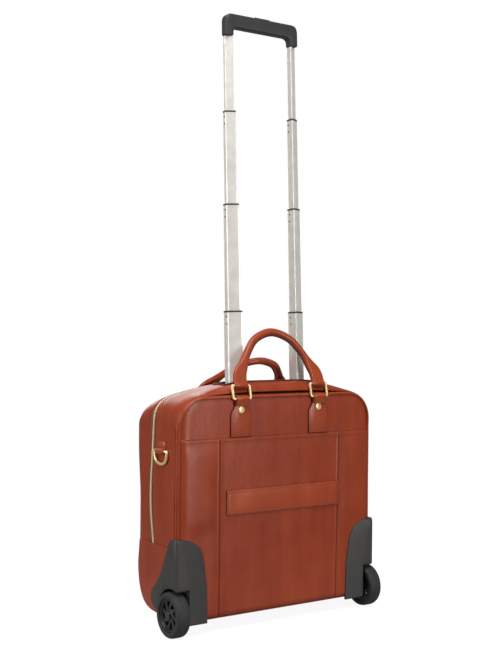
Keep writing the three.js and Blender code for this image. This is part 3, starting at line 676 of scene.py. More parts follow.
def make_floor():
    """A white studio sweep that glows softly, a little less near the case, so no horizon shows."""
    mesh = bpy.data.meshes.new("floor")
    work = bmesh.new()
    bmesh.ops.create_circle(work, cap_ends=True, segments=96, radius=9.0)
    work.to_mesh(mesh)
    work.free()
    floor = bpy.data.objects.new("floor", mesh)
    bpy.context.scene.collection.objects.link(floor)
    material, tree, shader, spot = shader_of("floor", 0.9)
    far = node(tree, "ShaderNodeVectorMath", {0: spot}, operation="LENGTH").outputs["Value"]
    fade = spread(tree, far, 0.30, 0.80)
    tree.links.new(mixed(tree, fade, (0.25, 0.25, 0.25), (0.0, 0.0, 0.0)), shader.inputs["Base Color"])
    tree.links.new(mixed(tree, fade, (0.90, 0.90, 0.90), (1.0, 1.0, 1.0)), shader.inputs["Emission Color"])
    seen = node(tree, "ShaderNodeLightPath").outputs["Is Camera Ray"]
    tree.links.new(spread(tree, seen, 0.0, 1.0, 0.2, 1.0), shader.inputs["Emission Strength"])
    shader.inputs["Specular IOR Level"].default_value = 0.0
    mesh.materials.append(material)


def make_world():
    world = bpy.data.worlds.new("studio")
    world.use_nodes = True
    tree = world.node_tree
    seen = node(tree, "ShaderNodeLightPath").outputs["Is Camera Ray"]
    strength = spread(tree, seen, 0.0, 1.0, 0.16, 1.0)
    tree.links.new(strength, tree.nodes["Background"].inputs["Strength"])
    tree.nodes["Background"].inputs["Color"].default_value = (1, 1, 1, 1)
    bpy.context.scene.world = world


def make_light(name, at, target, width, height, power):
    lamp = bpy.data.lights.new(name, "AREA")
    lamp.shape, lamp.size, lamp.size_y, lamp.energy = "RECTANGLE", width, height, power
    light = bpy.data.objects.new(name, lamp)
    light.location = at
    light.rotation_euler = (Vector(target) - Vector(at)).to_track_quat("-Z", "Y").to_euler()
    bpy.context.scene.collection.objects.link(light)


make_camera()
make_floor()
make_world()
make_light("strip_behind", (0.52, -1.85, 0.50), (-0.16, -0.06, 0.30), 0.16, 1.2, 15)
make_light("top_box", (-0.5, -0.9, 2.6), (0, 0, 0.4), 2.2, 1.8, 62)
make_light("left_box", (-2.4, 0.5, 0.9), (0, 0, 0.4), 1.0, 1.8, 30)
make_light("front_fill", (0.6, 2.6, 1.4), (0, 0, 0.4), 1.8, 1.6, 22)
bpy.context.scene.view_settings.view_transform = "Standard"


# ---- the leather wall, by columns around the case and depth --------------------------------------

def cut_at(points, x):
    """Splits a list of points, sorted away from x = 0, at an x."""
    for i, (a, b) in enumerate(zip(points, points[1:])):
        if a.x <= x <= b.x and b.x > a.x:
            middle = a.lerp(b, (x - a.x) / (b.x - a.x))
            return points[: i + 1] + [middle], [middle] + points[i + 1 :]
    return points, []


def rim_points():
    """The full outline from the left base seam over the top to the right, with points at the slot's ends."""
    top, side = cut_at(HALF_OUTLINE, SLOT_HALF)
    right = resample(top, 8) + resample(side, 6)[1:]
    left = [Vector((-p.x, p.y)) for p in right]
    return list(reversed(left)) + right[1:]


RIM = rim_points()


def skin(i, depth, lift=0.0, rough=0.7):
    """A point on the case's wall at a column and a depth, lifted off it, with the wall's normal there."""
    x, z = RIM[i]
    here = section(x, z, depth)
    ahead = section(*RIM[min(i + 1, len(RIM) - 1)], depth)
    behind = section(*RIM[max(i - 1, 0)], depth)
    fore = section(x, z, depth + 1)
    aft = section(x, z, max(depth - 1, 0))
    along = Vector((ahead.x - behind.x, 0, ahead.y - behind.y))
    forwards = Vector((fore.x - aft.x, depth + 1 - max(depth - 1, 0), fore.y - aft.y))
    normal = along.cross(forwards).normalized()
    lift += wander(here.x, depth, here.y, rough)
    return place(here.x, depth, here.y) + normal * lift * MM, normal


def bulge(i, share):
    """How far the soft side stands out between its seams."""
    x, z = RIM[i]
    flank = ease(abs(x), 120, 190) * ease(z, BASE_SEAM, 190) * (1 - ease(z, 330, 400))
    return 1.2 * flank * math.sin(math.pi * min(max(share, 0), 1))


def rolled(distance, fold=2.6, drop=1.1):
    """How far a folded leather edge turns down within a distance of its end."""
    t = min(max(1 - distance / fold, 0.0), 1.0)
    return -drop * t * t


def wall_patch(name, near, far, shares, replaces, body, keep=None, fold_near=False, fold_far=True):
    """A leather wall between two depths, given for each column, thickened inwards with a cloth lining."""
    rows, dye_and_shade_rows = [], []
    for share in shares:
        row, dye_and_shade = [], []
        for i in range(len(RIM)):
            low, high = near(i), far(i)
            depth = low + (high - low) * share
            lift = bulge(i, share)
            lift += rolled(depth - low) if fold_near else 0
            lift += rolled(high - depth) if fold_far else 0
            row.append(skin(i, depth, lift)[0])
            end = min(high - depth if fold_far else 9, depth - low if fold_near else 9)
            dye_and_shade.append(0.55 * max(0.0, 1 - end / 1.2))
        rows.append(row)
        dye_and_shade_rows.append(dye_and_shade)
    mesh = grid_mesh(name, rows, keep, dye_and_shade_rows)
    centre = place(0, 70, 200)
    face_towards(mesh, lambda p: p - centre)
    piece = new_piece(mesh, [CASE_LEATHER, LINING], body, replaces)
    solid = piece.modifiers.new("thickness", "SOLIDIFY")
    solid.thickness = SKIN * MM
    solid.offset = -1
    solid.material_offset = 1
    solid.material_offset_rim = 0
    return applied(piece)


def zip_at(i, offset=0.0):
    return zip_depth(RIM[i].y) + offset


def on_flank(z):
    """1 down the straight sides of the case and 0 over its top."""
    return 1 - ease(z, 325, 375)


def make_gussets():
    """The rear wall with the pull handle's slot, and the front wall of the flap."""
    seat = 1.0
    end = ZIP_TOP_DEPTH - ZIP_HALF - ZIP_GAP
    stops = [seat, 1.8, 3.0, 4.8, 7.5, 11, 16, SLOT_NEAR, 28, 35, 42, 49,
             SLOT_FAR, 59, 64, 70, 74.6, 76, 76.8, end]
    shares = [(stop - seat) / (end - seat) for stop in stops]
    slot_rows = range(stops.index(SLOT_NEAR), stops.index(SLOT_FAR))

    def beside_slot(r, c):
        inside = abs(RIM[c].x) <= SLOT_HALF + 0.01 and abs(RIM[c + 1].x) <= SLOT_HALF + 0.01
        return not (inside and RIM[c].y > TOP_START and r in slot_rows)

    wall_patch("rear_gusset", lambda i: seat + GUSSET_STEP * on_flank(RIM[i].y),
               lambda i: zip_at(i, -ZIP_HALF - ZIP_GAP),
               shares, ["gusset_rear_left", "gusset_rear_right", "gusset_rear_top"], "case", beside_slot)
    front = [0, 0.015, 0.035, 0.07, 0.16, 0.28, 0.40, 0.52, 0.64, 0.76, 0.86, 0.94, 0.975, 1]
    wall_patch("front_gusset", lambda i: zip_at(i, ZIP_HALF + ZIP_GAP),
               lambda i: FRONT_SEAM_DEPTH - 0.4, front,
               ["gusset_front_left", "gusset_front_right", "gusset_front_top"], "front_flap",
               fold_near=True, fold_far=True)


def make_zip():
    """Two tapes with brass teeth that part where the flap opens."""
    for name, sign, body, replaces in (("rear", -1, "case", ["zip_tape"]), ("front", 1, "front_flap", [])):
        rows = []
        for offset in (0.35, 1.5, 3.0, ZIP_HALF + 1.6):
            rows.append([skin(i, zip_at(i, sign * offset), -1.1, 0.5)[0] for i in range(len(RIM))])
        mesh = grid_mesh(f"zip_tape_{name}_half", rows)
        centre = place(0, 70, 200)
        face_towards(mesh, lambda p: p - centre)
        tape = new_piece(mesh, TAPE, body, replaces)
        thicken(tape, 0.7)
    course = [skin(i, zip_at(i), -0.5, 0.5) for i in range(len(RIM))]
    line = resample([point for point, normal in course], 1.55 * MM)
    runs = {"rear": [], "front": []}
    for k, (a, b) in enumerate(zip(line, line[1:])):
        normal = course[min(int((k + 0.5) / len(line) * len(course)), len(course) - 1)][1]
        along = (b - a).normalized()
        side = normal.cross(along).normalized()
        if side.y < 0:
            side = -side
        which = "front" if k % 2 else "rear"
        sign = 1 if which == "front" else -1
        runs[which].append(tooth_points((a + b) / 2 + side * (sign * 0.9 - 0.5) * MM, along, side, normal))
    for which, body in (("rear", "case"), ("front", "front_flap")):
        points, faces = [], []
        for block in runs[which]:
            base = len(points)
            points += block
            faces += [tuple(base + v for v in face) for face in TOOTH_FACES]
        mesh = mesh_of(f"zip_teeth_{which}", points, faces)
        outward(mesh)
        new_piece(mesh, TEETH, body, smooth=False)


TOOTH_FACES = [(0, 1, 2, 3), (7, 6, 5, 4), (0, 4, 5, 1), (1, 5, 6, 2), (2, 6, 7, 3), (3, 7, 4, 0)]


def tooth_points(centre, along, side, normal):
    """One zip tooth: a small block that narrows to its top."""
    made = []
    for level, shrink in ((-0.5, 1.0), (0.75, 0.72)):
        for u, v in ((-1, -1), (1, -1), (1, 1), (-1, 1)):
            flat = (along * u * 0.70 + side * v * 2.0) * shrink
            made.append(centre + (flat + normal * level) * MM)
    return made


def front_outline():
    """The front panel's edge from the base seam up one side: half width and height at the front seam."""
    return [section(p.x, p.y, FRONT_SEAM_DEPTH) for p in HALF_OUTLINE if p.y > BASE_SEAM]


def make_front():
    edge = front_outline()
    half = max(p.x for p in edge)
    tab_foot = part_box("front_tab_left")[0].z / MM
    columns, levels = 56, 40
    rows, dye_and_shade_rows = [], []
    for r in range(levels + 1):
        v = math.sin(math.pi / 2 * r / levels)
        row, dye_and_shade = [], []
        for c in range(columns + 1):
            x = half * math.sin(math.pi / 2 * (2 * c / columns - 1))
            top = read_off(edge, abs(x))
            z = BASE_SEAM + 0.3 + (top - BASE_SEAM - 0.3) * v
            rim = min(half - abs(x), top - z, z - BASE_SEAM)
            free = max(ease(abs(abs(x) - TAB_X), 20, 45), 1 - ease(z, tab_foot - 35, tab_foot - 5))
            lift = free * (wander(x, 150, z, 0.9) + 1.6 * ease(rim, 0, 60)) + rolled(rim, 3.0, 0.8)
            row.append(place(x, front_depth(x, z) + lift, z))
            dye_and_shade.append(0.5 * max(0.0, 1 - rim / 1.2))
        rows.append(row)
        dye_and_shade_rows.append(dye_and_shade)
    mesh = grid_mesh("front_leather", rows, dye_and_shade=dye_and_shade_rows)
    face_towards(mesh, lambda p: Vector((0, 1, 0)))
    piece = new_piece(mesh, [CASE_LEATHER, LINING], "front_flap", ["front_panel"])
    solid = piece.modifiers.new("thickness", "SOLIDIFY")
    solid.thickness, solid.offset, solid.material_offset = SKIN * MM, -1, 1
    applied(piece)


def plan_ring(z, count_side, count_corner, count_front):
    """The base's outline from above at a height, from the back on the left, round the front, to the right."""
    side = read_off([Vector((p.y, p.x)) for p in LOWER_HALF if p.y > 23.9 and p.x > 150], z)
    front = read_off(list(FLOOR_LINE) + [Vector((DEPTH, BASE_SEAM))], z, key=1, give=0)
    if z >= 102:
        front = read_off(FACE_LINE, z, key=1, give=0)
    radius = min(FRONT_RADIUS, max(front - 4, 0.5))
    start = 1.0
    made = []
    for s in range(count_side):
        made.append((-side, start + (front - radius - start) * s / count_side))
    for s in range(count_corner):
        a = math.pi / 2 * s / count_corner
        made.append((-side + radius - radius * math.cos(a), front - radius + radius * math.sin(a)))
    for s in range(count_front + 1):
        made.append(((side - radius) * (2 * s / count_front - 1), front))
    return made + [(-x, d) for x, d in reversed(made[: count_side + count_corner])]


def make_base():
    """The boot: one leather piece round the sides and front and under the case, open at the wheel arches."""
    heights = [BASE_SEAM + 1.5, 140.6, 138, 133, 126, 117, 108, 99, 90, ARCH_TOP - 2, 76, 68, 60, 53, 47,
               41.5,
               37, 33.5, 31, 29.2, 28.2, 27.5, 27.15, 26.8, 26.2, 25.6, 25.0, 24.5, 24.05]
    rows, places = [], []
    for z in heights:
        lift = 0.9 - rolled(BASE_SEAM + 1.5 - z, 3.0, -1.0)
        low = 1 - ease(z, 30, 60)
        row, spots = [], []
        ring = plan_ring(z, 16, 8, 60)
        for i, (x, d) in enumerate(ring):
            ahead, behind = ring[min(i + 1, len(ring) - 1)], ring[max(i - 1, 0)]
            out = Vector((-(ahead[1] - behind[1]), ahead[0] - behind[0]))
            out = out.normalized() * (1 - low) if out.length else Vector((0, 0))
            rise = lift + wander(x, d, z, 0.8)
            row.append(place(x + out.x * rise, d + out.y * rise, z - low * 0.9))
            spots.append((x, d, z))
        rows.append(row)
        places.append(spots)

    def outside_arches(r, c):
        corners = [places[a][b] for a in (r, r + 1) for b in (c, c + 1)]
        x, d, z = (sum(values) / 4 for values in zip(*[(abs(x), d, z) for x, d, z in corners]))
        return not (x > ARCH_INNER - 4 and d < ARCH_FRONT and z < ARCH_TOP)

    dye_and_shade = [[0.5 if r == 0 else 0.0] * len(row) for r, row in enumerate(rows)]
    mesh = grid_mesh("base_leather", rows, outside_arches, dye_and_shade)
    centre = place(0, 60, 160)
    face_towards(mesh, lambda p: p - centre)
    piece = new_piece(mesh, [CASE_LEATHER, LINING], "case", ["base_boot"])
    solid = piece.modifiers.new("thickness", "SOLIDIFY")
    solid.thickness, solid.offset, solid.material_offset = SKIN * MM, -1, 1
    applied(piece)


# ---- the back ------------------------------------------------------------------------------------

def back_half_width(z, corner=BACK_CORNER, inset=0.8):
    over = max(z - (BACK_SEAM_TOP - corner), 0)
    return HALF_WIDTH - corner + math.sqrt(max(corner ** 2 - over ** 2, 0)) - inset


def field(name, xs, zs, depth_at, thickness, finish, body, replaces=(),
          keep=None, dye_and_shade_at=None, wide=None):
    """A leather layer that faces back, from a depth for each (x, z)."""
    rows = [[place(x if wide is None else x * wide(z), depth_at(x if wide is None else x * wide(z), z), z)
             for x in xs] for z in zs]
    dye_and_shade_rows = [[dye_and_shade_at(x, z) for x in xs] for z in zs] if dye_and_shade_at else None
    mesh = grid_mesh(name, rows, keep, dye_and_shade_rows)
    face_towards(mesh, lambda p: Vector((0, -1, 0)))
    piece = new_piece(mesh, finish, body, replaces)
    return thicken(piece, thickness)


def spaced(*stops, step=6.0):
    """Values through the stops, evenly spaced between each pair, at most a step apart."""
    made = [stops[0]]
    for low, high in zip(stops, stops[1:]):
        count = max(1, math.ceil(abs(high - low) / step))
        made += [low + (high - low) * (k + 1) / count for k in range(count)]
    return made


def wrap_at(x):
    """How far forwards the back's leather curves round towards its side edges."""
    return 2.4 * (1 - ease(HALF_WIDTH - abs(x), 1, 15))


def make_back():
    rows = spaced(26, 300, BACK_SEAM_TOP - BACK_CORNER, BACK_SEAM_TOP - 4, BACK_SEAM_TOP - 0.6, step=7)
    shares = [math.sin(math.pi / 2 * u) for u in spaced(-1, 1, step=0.04)]

    def depth_at(x, z):
        rim = min(back_half_width(z) - abs(x), BACK_SEAM_TOP - z)
        return 1.1 - 1.3 * ease(rim, 0, 14) + wander(x, 0, z, 0.5) + wrap_at(x)

    def beside_arches(r, c):
        out = max(abs(shares[c]), abs(shares[c + 1])) * HALF_WIDTH
        return not (rows[r] < ARCH_TOP and out > ARCH_INNER - 6)

    field("back_leather", shares, rows, depth_at, 1.8, CASE_LEATHER, "case", ["back_panel"],
          beside_arches, wide=back_half_width)


def make_back_pocket():
    """The large flat pocket on the back: two wings and a centre, parted by upright seams."""
    edge = HALF_WIDTH - 3.4
    seam = POCKET_SEAM
    half = spaced(0, seam - 5, step=7) + spaced(seam - 5, seam + 11, step=0.65)[1:]
    half += spaced(seam + 11, edge - 14, edge - 10, edge - 6, edge - 3, edge - 1, edge, step=7)[1:]
    xs = mirrored(half)
    zs = spaced(27, 300, POCKET_TOP - 8, POCKET_TOP - 5, POCKET_TOP - 3.2, POCKET_TOP - 1.6, POCKET_TOP - 0.5,
                POCKET_TOP, step=7)

    def seam_at(x, z):
        """The right seam leans out a little towards the pocket's top."""
        return seam + (6.5 * (z / POCKET_TOP) if x > 0 else 0)

    def depth_at(x, z):
        along = abs(x)
        off = abs(along - seam_at(x, z))
        groove = 1.25 * math.exp(-((off / 0.85) ** 2)) - 0.45 * math.exp(-(((off - 2.6) / 1.5) ** 2))
        centre = along < seam
        wide = seam if centre else (edge - seam) / 2
        middle = 0 if centre else (edge + seam) / 2
        share = max(1 - (abs(along - middle) / wide) ** 2, 0)
        quiet = 1 - ease(along, 128, 148) * (1 - ease(z, 160, 185))
        puff = (0.9 if centre else 2.3) * share * quiet * ease(POCKET_TOP - z, 2, 30)
        under = POCKET_TOP - z
        top = 1.5 * max(0, 1 - under / 1.8) ** 2 - 0.5 * math.exp(-(((under - 4) / 1.6) ** 2))
        side = 1.2 * max(0, 1 - (edge - along) / 2.2) ** 2
        return -1.9 + groove + top + side - puff + wrap_at(x) + wander(x, 3, z, 0.45, 0.009) * quiet

    # Darker along the upright seams and the top edge: dyed edges, and painted shade in the seam grooves.
    def dye_and_shade_at(x, z):
        off = abs(abs(x) - seam_at(x, z))
        return max(0.75 * max(0, 1 - off / 1.2), 0.7 * max(0, 1 - (POCKET_TOP - z) / 1.0))

    def beside_arches(r, c):
        return not (zs[r] < ARCH_TOP and max(abs(xs[c]), abs(xs[c + 1])) > ARCH_INNER - 6)

    field("back_pocket_leather", xs, zs, depth_at, 1.3, CASE_LEATHER, "case", ["back_pocket"],
          beside_arches, dye_and_shade_at)


def make_strap():
    """The sleeve that slips over another case's handle, sewn down at both ends."""
    low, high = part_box("back_strap")
    left, right, bottom, top = low.x / MM, high.x / MM, low.z / MM, high.z / MM
    xs = spaced(left, left + 0.5, left + 1.6, left + 3.4, left + 5, left + 14,
                right - 14, right - 5, right - 3.4, right - 1.6, right - 0.5, right, step=7)
    zs = spaced(bottom, bottom + 0.5, bottom + 1.6, bottom + 3.4, bottom + 6, top - 6, top - 3.4, top - 1.6,
                top - 0.5, top, step=5)

    def depth_at(x, z):
        rim = min(x - left, right - x, z - bottom, top - z)
        edge = 1.9 * max(0, 1 - rim / 1.6) ** 2
        sewn = 0.35 * math.exp(-(((rim - 3.4) / 0.8) ** 2))
        slack = 1.1 * ease(x, left + 14, left + 44) * (1 - ease(x, right - 45, right - 8))
        return -5.1 + edge + sewn - slack * (1 - ((z - (bottom + top) / 2) / 22) ** 2) + wander(x, 9, z, 0.4)

    # Painted shadow: the strap's rims darken where it stands off the back, on top of their dyed edges.
    def dye_and_shade_at(x, z):
        rim = min(x - left, right - x, z - bottom, top - z)
        return 0.8 * max(0, 1 - rim / 0.7)

    field("back_strap_leather", xs, zs, depth_at, 2.3, TRIM_LEATHER, "case", ["back_strap"],
          dye_and_shade_at=dye_and_shade_at)


def back_edge(inset, corner, low):
    """The back panel's edge line, from the lower left over the top to the lower right."""
    half, top = HALF_WIDTH - inset, BACK_SEAM_TOP - inset
    corner = corner - inset
    right = chain([(0, top), (half - corner, top)],
                  [(half - corner + corner * math.sin(a), top - corner + corner * math.cos(a))
                   for a in [math.pi / 2 * k / 12 for k in range(13)]], [(half, low)])
    return [Vector((-p.x, p.y)) for p in reversed(right)] + right[1:]


def make_welts():
    """Three rolled edges side by side where the back meets the walls, and one where the front does."""
    behind = Vector((0, -1, 0))
    # A name, how far it lies inside the edge, its depth over the top and down the sides, radius and finish.
    for name, inset, over, down, radius, finish in (
        ("back_welt", 1.9, 0.4, 2.6, 2.1, CASE_LEATHER),
        ("welt_groove", 1.1, 1.8, 7.2, 2.5, TRIM_LEATHER),
        ("gusset_welt", -0.1, 3.2, 11.6, 2.0, CASE_LEATHER),
    ):
        line = [p for p in resample(back_edge(inset, BACK_CORNER, 26), 4) if p.y > ARCH_TOP + 4]
        depths = [over + (down - over) * on_flank(p.y) + wander(p.x, 5, p.y, 0.3) for p in line]
        path = [place(p.x, depth, p.y) for p, depth in zip(line, depths)]
        new_piece(tube(name, path, radius, behind), finish, "case")
    course = [skin(i, FRONT_SEAM_DEPTH, -0.5, 0.4)[0] for i in range(len(RIM))]
    new_piece(tube("front_welt", course, 1.6, Vector((0, 1, 0))), CASE_LEATHER, "front_flap")


def make_slot():
    """The folded leather lining of the pull handle's slot, with a rolled lip."""
    columns = [i for i in range(len(RIM)) if abs(RIM[i].x) <= SLOT_HALF + 0.01 and RIM[i].y > TOP_START]
    deeps = spaced(SLOT_NEAR, SLOT_FAR, step=5)
    around = [(i, SLOT_NEAR) for i in columns] + [(columns[-1], d) for d in deeps[1:]]
    around += [(i, SLOT_FAR) for i in reversed(columns[:-1])]
    around += [(columns[0], d) for d in reversed(deeps[1:-1])]
    rows = []
    centre = place(0, (SLOT_NEAR + SLOT_FAR) / 2, 0)
    for share in (0.0, 0.12, 0.35, 0.7, 1.0):
        row = []
        for i, depth in around:
            point = skin(i, depth, 0.2)[0]
            inward = Vector((centre.x - point.x, centre.y - point.y, 0)).normalized()
            inward = Vector((0, inward.y, 0)) if abs(point.x) < (SLOT_HALF - 1) * MM else inward
            sunk = share * (point.z - BEZEL_TOP * MM)
            row.append(point + inward.normalized() * 0.9 * share * MM - Vector((0, 0, sunk)))
        rows.append(row + [row[0]])
    # Painted shade: the lining darkens row by row down into the slot.
    mesh = grid_mesh("slot_lining", rows, dye_and_shade=[[0.35 + 0.4 * r / 4] * len(rows[0]) for r in range(len(rows))])
    face_towards(mesh, lambda p: Vector((centre.x - p.x, centre.y - p.y, 0)))
    thicken(new_piece(mesh, CASE_LEATHER, "case"), 1.2)
    lip = [skin(i, depth, 0.5)[0] for i, depth in around]
    new_piece(tube("slot_lip", lip, 1.5, Vector((0, 0, 1)), closed=True), EDGE_LEATHER, "case")


make_gussets()
make_zip()
make_front()
make_base()
make_back()
make_back_pocket()
make_strap()
make_welts()
make_slot()


# ---- handles, rings and tabs ---------------------------------------------------------------------

TAB_HALF, NECK_HALF = 20.0, 12.5
TAB_THICK = 2.8
LOOP_RADIUS, LOOP_HOLE = 4.6, 2.8
RING_WIDTH, RING_HEIGHT, RING_WIRE = 38.0, 26.0, 3.4
RING_HALF, D_RING_HALF = 2.1, 2.6
REAR_PIVOT = (-5.0, 384.0)
FRONT_PIVOT = (139.5, 370.5)
# The lean of each set of rings about its pivot, and its handle's further lean about the rings' upper bars.
REAR_LEAN, FRONT_LEAN = (12.0, 6.0), (-44.0, -3.0)
HANDLE_RADIUS, HANDLE_STRAP = 6.2, 22.0
REAR_RISE, FRONT_RISE = 94.0, 84.0
RIVET_Z = 366.0


def tab_outline(x, foot, top):
    """A wide strap with angled shoulders and a narrow neck."""
    shoulder = top - (REAR_PIVOT[1] - 367)
    right = [(x + TAB_HALF, foot), (x + TAB_HALF, shoulder - 4), (x + NECK_HALF + 0.8, shoulder + 7),
             (x + NECK_HALF, shoulder + 10), (x + NECK_HALF, top - 2)]
    return right + [(2 * x - u, v) for u, v in reversed(right)]


def loop_mesh(name, x, to_space, stem=9.0):
    """The strap's fold round a ring's bar: a sleeve with a stem, from a (depth, z) view about the bar."""
    outer = [(LOOP_RADIUS * math.sin(a), LOOP_RADIUS * math.cos(a))
             for a in [math.radians(-125 + 250 * k / 20) for k in range(21)]]
    foot = [(3.0, -stem), (-3.0, -stem)]
    spot = lambda u, v, w: to_space(x + w, u, v)
    return prism(name, outer + foot, spot, -NECK_HALF, NECK_HALF, 0.7, 2, [circle(LOOP_HOLE, 20)])





def make_rear_tabs():
    behind = Vector((0, -1, 0))
    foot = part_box("rear_tab_left")[0].z / MM
    depth, z = REAR_PIVOT
    for side, sign in SIDES:
        x = sign * TAB_X
        outline = tab_outline(x, foot, z - 4)
        plate = prism(f"rear_tab_plate_{side}", outline, lambda u, v, w: place(u, w, v),
                      -0.2 - TAB_THICK, -0.2, 0.8)
        loop = loop_mesh(f"rear_loop_{side}", x, lambda a, b, c: place(a, depth + b, z + c), 12)
        piece = new_piece(joined(f"rear_tab_leather_{side}", [plate, loop]),
                          TRIM_LEATHER, "case", [f"rear_tab_{side}"])
        smooth_by_angle(piece, 40)
        # A dark leather ring round the tab's outline: its dyed edge, and painted shade on the tab's
        # thickness.
        edge = [place(u, -1.6, v) for u, v in outline]
        dark = tube(f"rear_tab_edge_{side}", edge, 1.05, behind, closed=True, sides=8)
        new_piece(dark, EDGE_LEATHER, "case")
        head = dome_mesh(f"rear_rivet_head_{side}", place(x, -3.0, RIVET_Z), behind, 5.8, 1.0)
        new_piece(head, BRASS, "case", [f"rear_rivet_{side}"])
        rim = [place(u, -3.1, v) for u, v in circle(5.6, 24, x, RIVET_Z)]
        seat = tube(f"rear_rivet_washer_{side}", rim, 0.5, behind, closed=True, sides=6)
        new_piece(seat, BRASS, "case")
        lines = []
        for turn in (-1, 1):
            sewn = [(x + turn * (TAB_HALF - 3), foot + 3), (x + turn * (TAB_HALF - 3), RIVET_Z - 5)]
            lines.append([(place(u, -3.05, v), behind) for u, v in sewn])
        lines.append([(place(x + u, -3.05, foot + 3), behind) for u in (-TAB_HALF + 3, TAB_HALF - 3)])
        stitches = stitch_mesh(f"rear_tab_stitches_{side}", [resampled(run) for run in lines])
        new_piece(stitches, THREAD, "case")


def resampled(run, spacing=STITCH_PITCH):
    """A stitch run with a point at each stitch, its first normal kept for them all."""
    return [(p, run[0][1]) for p in resample([p for p, _ in run], spacing * MM)]


def make_front_tabs():
    for side, _ in SIDES:
        softened_node(f"front_tab_{side}", f"front_tab_leather_{side}", TRIM_LEATHER, "front_flap", 0.7)
        softened_node(f"front_rivet_{side}", f"front_rivet_head_{side}", BRASS, "front_flap", 0.6, 3)


def ring_path():
    """The centre of a ring's wire, from the bar in the tab round to the bar in the handle, about (0, 0)."""
    half, tall, corner = RING_WIDTH / 2 - RING_WIRE / 2, RING_HEIGHT - RING_WIRE, 2.2
    centres = ((half - corner, corner, -90), (half - corner, tall - corner, 0),
               (corner - half, tall - corner, 90), (corner - half, corner, 180))
    made = []
    for u, v, start in centres:
        for k in range(5):
            a = math.radians(start + 90 * k / 4)
            made.append((u + corner * math.cos(a), v + corner * math.sin(a)))
    return made


def frame_at(pivot, lean):
    """The frame of a leaning set: x across, y out of its plane, z along it, in metres from its pivot."""
    depth, z = pivot
    return Matrix.Translation(place(0, depth, z)) @ Matrix.Rotation(math.radians(-lean), 4, "X")


def superellipse(half_u, half_v, power, sides=20):
    made = []
    for s in range(sides):
        a = 2 * math.pi * (s + 0.5) / sides
        c, n = math.cos(a), math.sin(a)
        made.append((half_u * math.copysign(abs(c) ** (2 / power), c),
                     half_v * math.copysign(abs(n) ** (2 / power), n)))
    return made


def make_handle(name, node_name, body, top, space):
    """A rolled handle that flattens into straps at its ends, each folded round a ring."""
    rise = RING_HEIGHT - RING_WIRE
    shoulders = ((69, 0.2), (56, 0.52), (35, 0.84))
    climb = [(-x, HANDLE_STRAP + share * (top - HANDLE_STRAP)) for x, share in shoulders]
    points = [(-TAB_X, 2), (-TAB_X, HANDLE_STRAP / 2), (3 - TAB_X, HANDLE_STRAP), *climb, (0, top)]
    points = points + [(-x, h) for x, h in reversed(points[:-1])]
    course = resample(smooth_spline([Vector((x, 0, h + rise)) * MM for x, h in points]), 4 * MM)
    length = len(course) - 1

    def flatness(share):
        end = min(share, 1 - share) * length * 4
        return 1 - ease(end, 10, 58)

    def section_at(share):
        flat = flatness(share)
        return superellipse(HANDLE_RADIUS + (NECK_HALF - HANDLE_RADIUS) * flat,
                            HANDLE_RADIUS + (LOOP_RADIUS - 0.6 - HANDLE_RADIUS) * flat, 2 + 3 * flat)

    path = [space @ p for p in course]
    across = space.to_3x3() @ Vector((0, 1, 0))
    meshes = [sweep(f"{name}_roll", path, section_at, across)]
    for sign in (-1, 1):
        spot = lambda a, b, c, s=sign: space @ (Vector((a, b, rise - c)) * MM)
        meshes.append(loop_mesh(f"{name}_fold", sign * TAB_X, spot, 8))
    piece = new_piece(joined(f"{name}_leather", meshes), TRIM_LEATHER, body, [node_name])
    smooth_by_angle(piece, 50)
    middle = space @ (Vector((0, 0, 40 + rise)) * MM)
    inside = []
    for i, p in enumerate(path):
        share = i / length
        if 0.16 < share < 0.84:
            inward = (middle - p).normalized()
            ahead = (path[i + 1] - path[i - 1]).normalized()
            inward = (inward - ahead * inward.dot(ahead)).normalized()
            inside.append(p + inward * (HANDLE_RADIUS + 0.4) * MM)
    fin = sweep(f"{name}_seam", inside, lambda share: superellipse(1.7, 1.5, 3, 12), across)
    new_piece(fin, EDGE_LEATHER, body)
    runs = []
    for sign in (-1, 1):
        runs.append([(p + across * sign * 1.5 * MM, across * sign) for p in inside])
    stitches = stitch_mesh(f"{name}_stitches", runs, 2.8, 1.4, 0.36)
    new_piece(stitches, THREAD, body)


def make_rings(name, pivot, lean, body):
    space = frame_at(pivot, lean)
    across = space.to_3x3() @ Vector((0, 1, 0))
    for side, sign in SIDES:
        path = [space @ (Vector((sign * TAB_X + u, 0, v)) * MM) for u, v in ring_path()]
        wire = superellipse(RING_HALF, RING_HALF, 3, 12)
        ring = sweep(f"{name}_ring_wire_{side}", path, lambda share: wire,
                     across, closed=True)
        piece = new_piece(ring, BRASS, body, [f"{name}_ring_{side}"])
        smooth_by_angle(piece, 60)


def make_handles():
    rise = Matrix.Translation((0, 0, (RING_HEIGHT - RING_WIRE) * MM))
    for name, pivot, (rings_lean, handle_lean), top in (
        ("rear", REAR_PIVOT, REAR_LEAN, REAR_RISE),
        ("front", FRONT_PIVOT, FRONT_LEAN, FRONT_RISE),
    ):
        make_rings(name, pivot, rings_lean, f"{name}_rings")
        turn = rise @ Matrix.Rotation(math.radians(-handle_lean), 4, "X") @ rise.inverted()
        space = frame_at(pivot, rings_lean) @ turn
        make_handle(f"{name}_handle", f"{name}_handle", f"{name}_carry_handle", top, space)


# ---- shoulder strap rings ------------------------------------------------------------------------

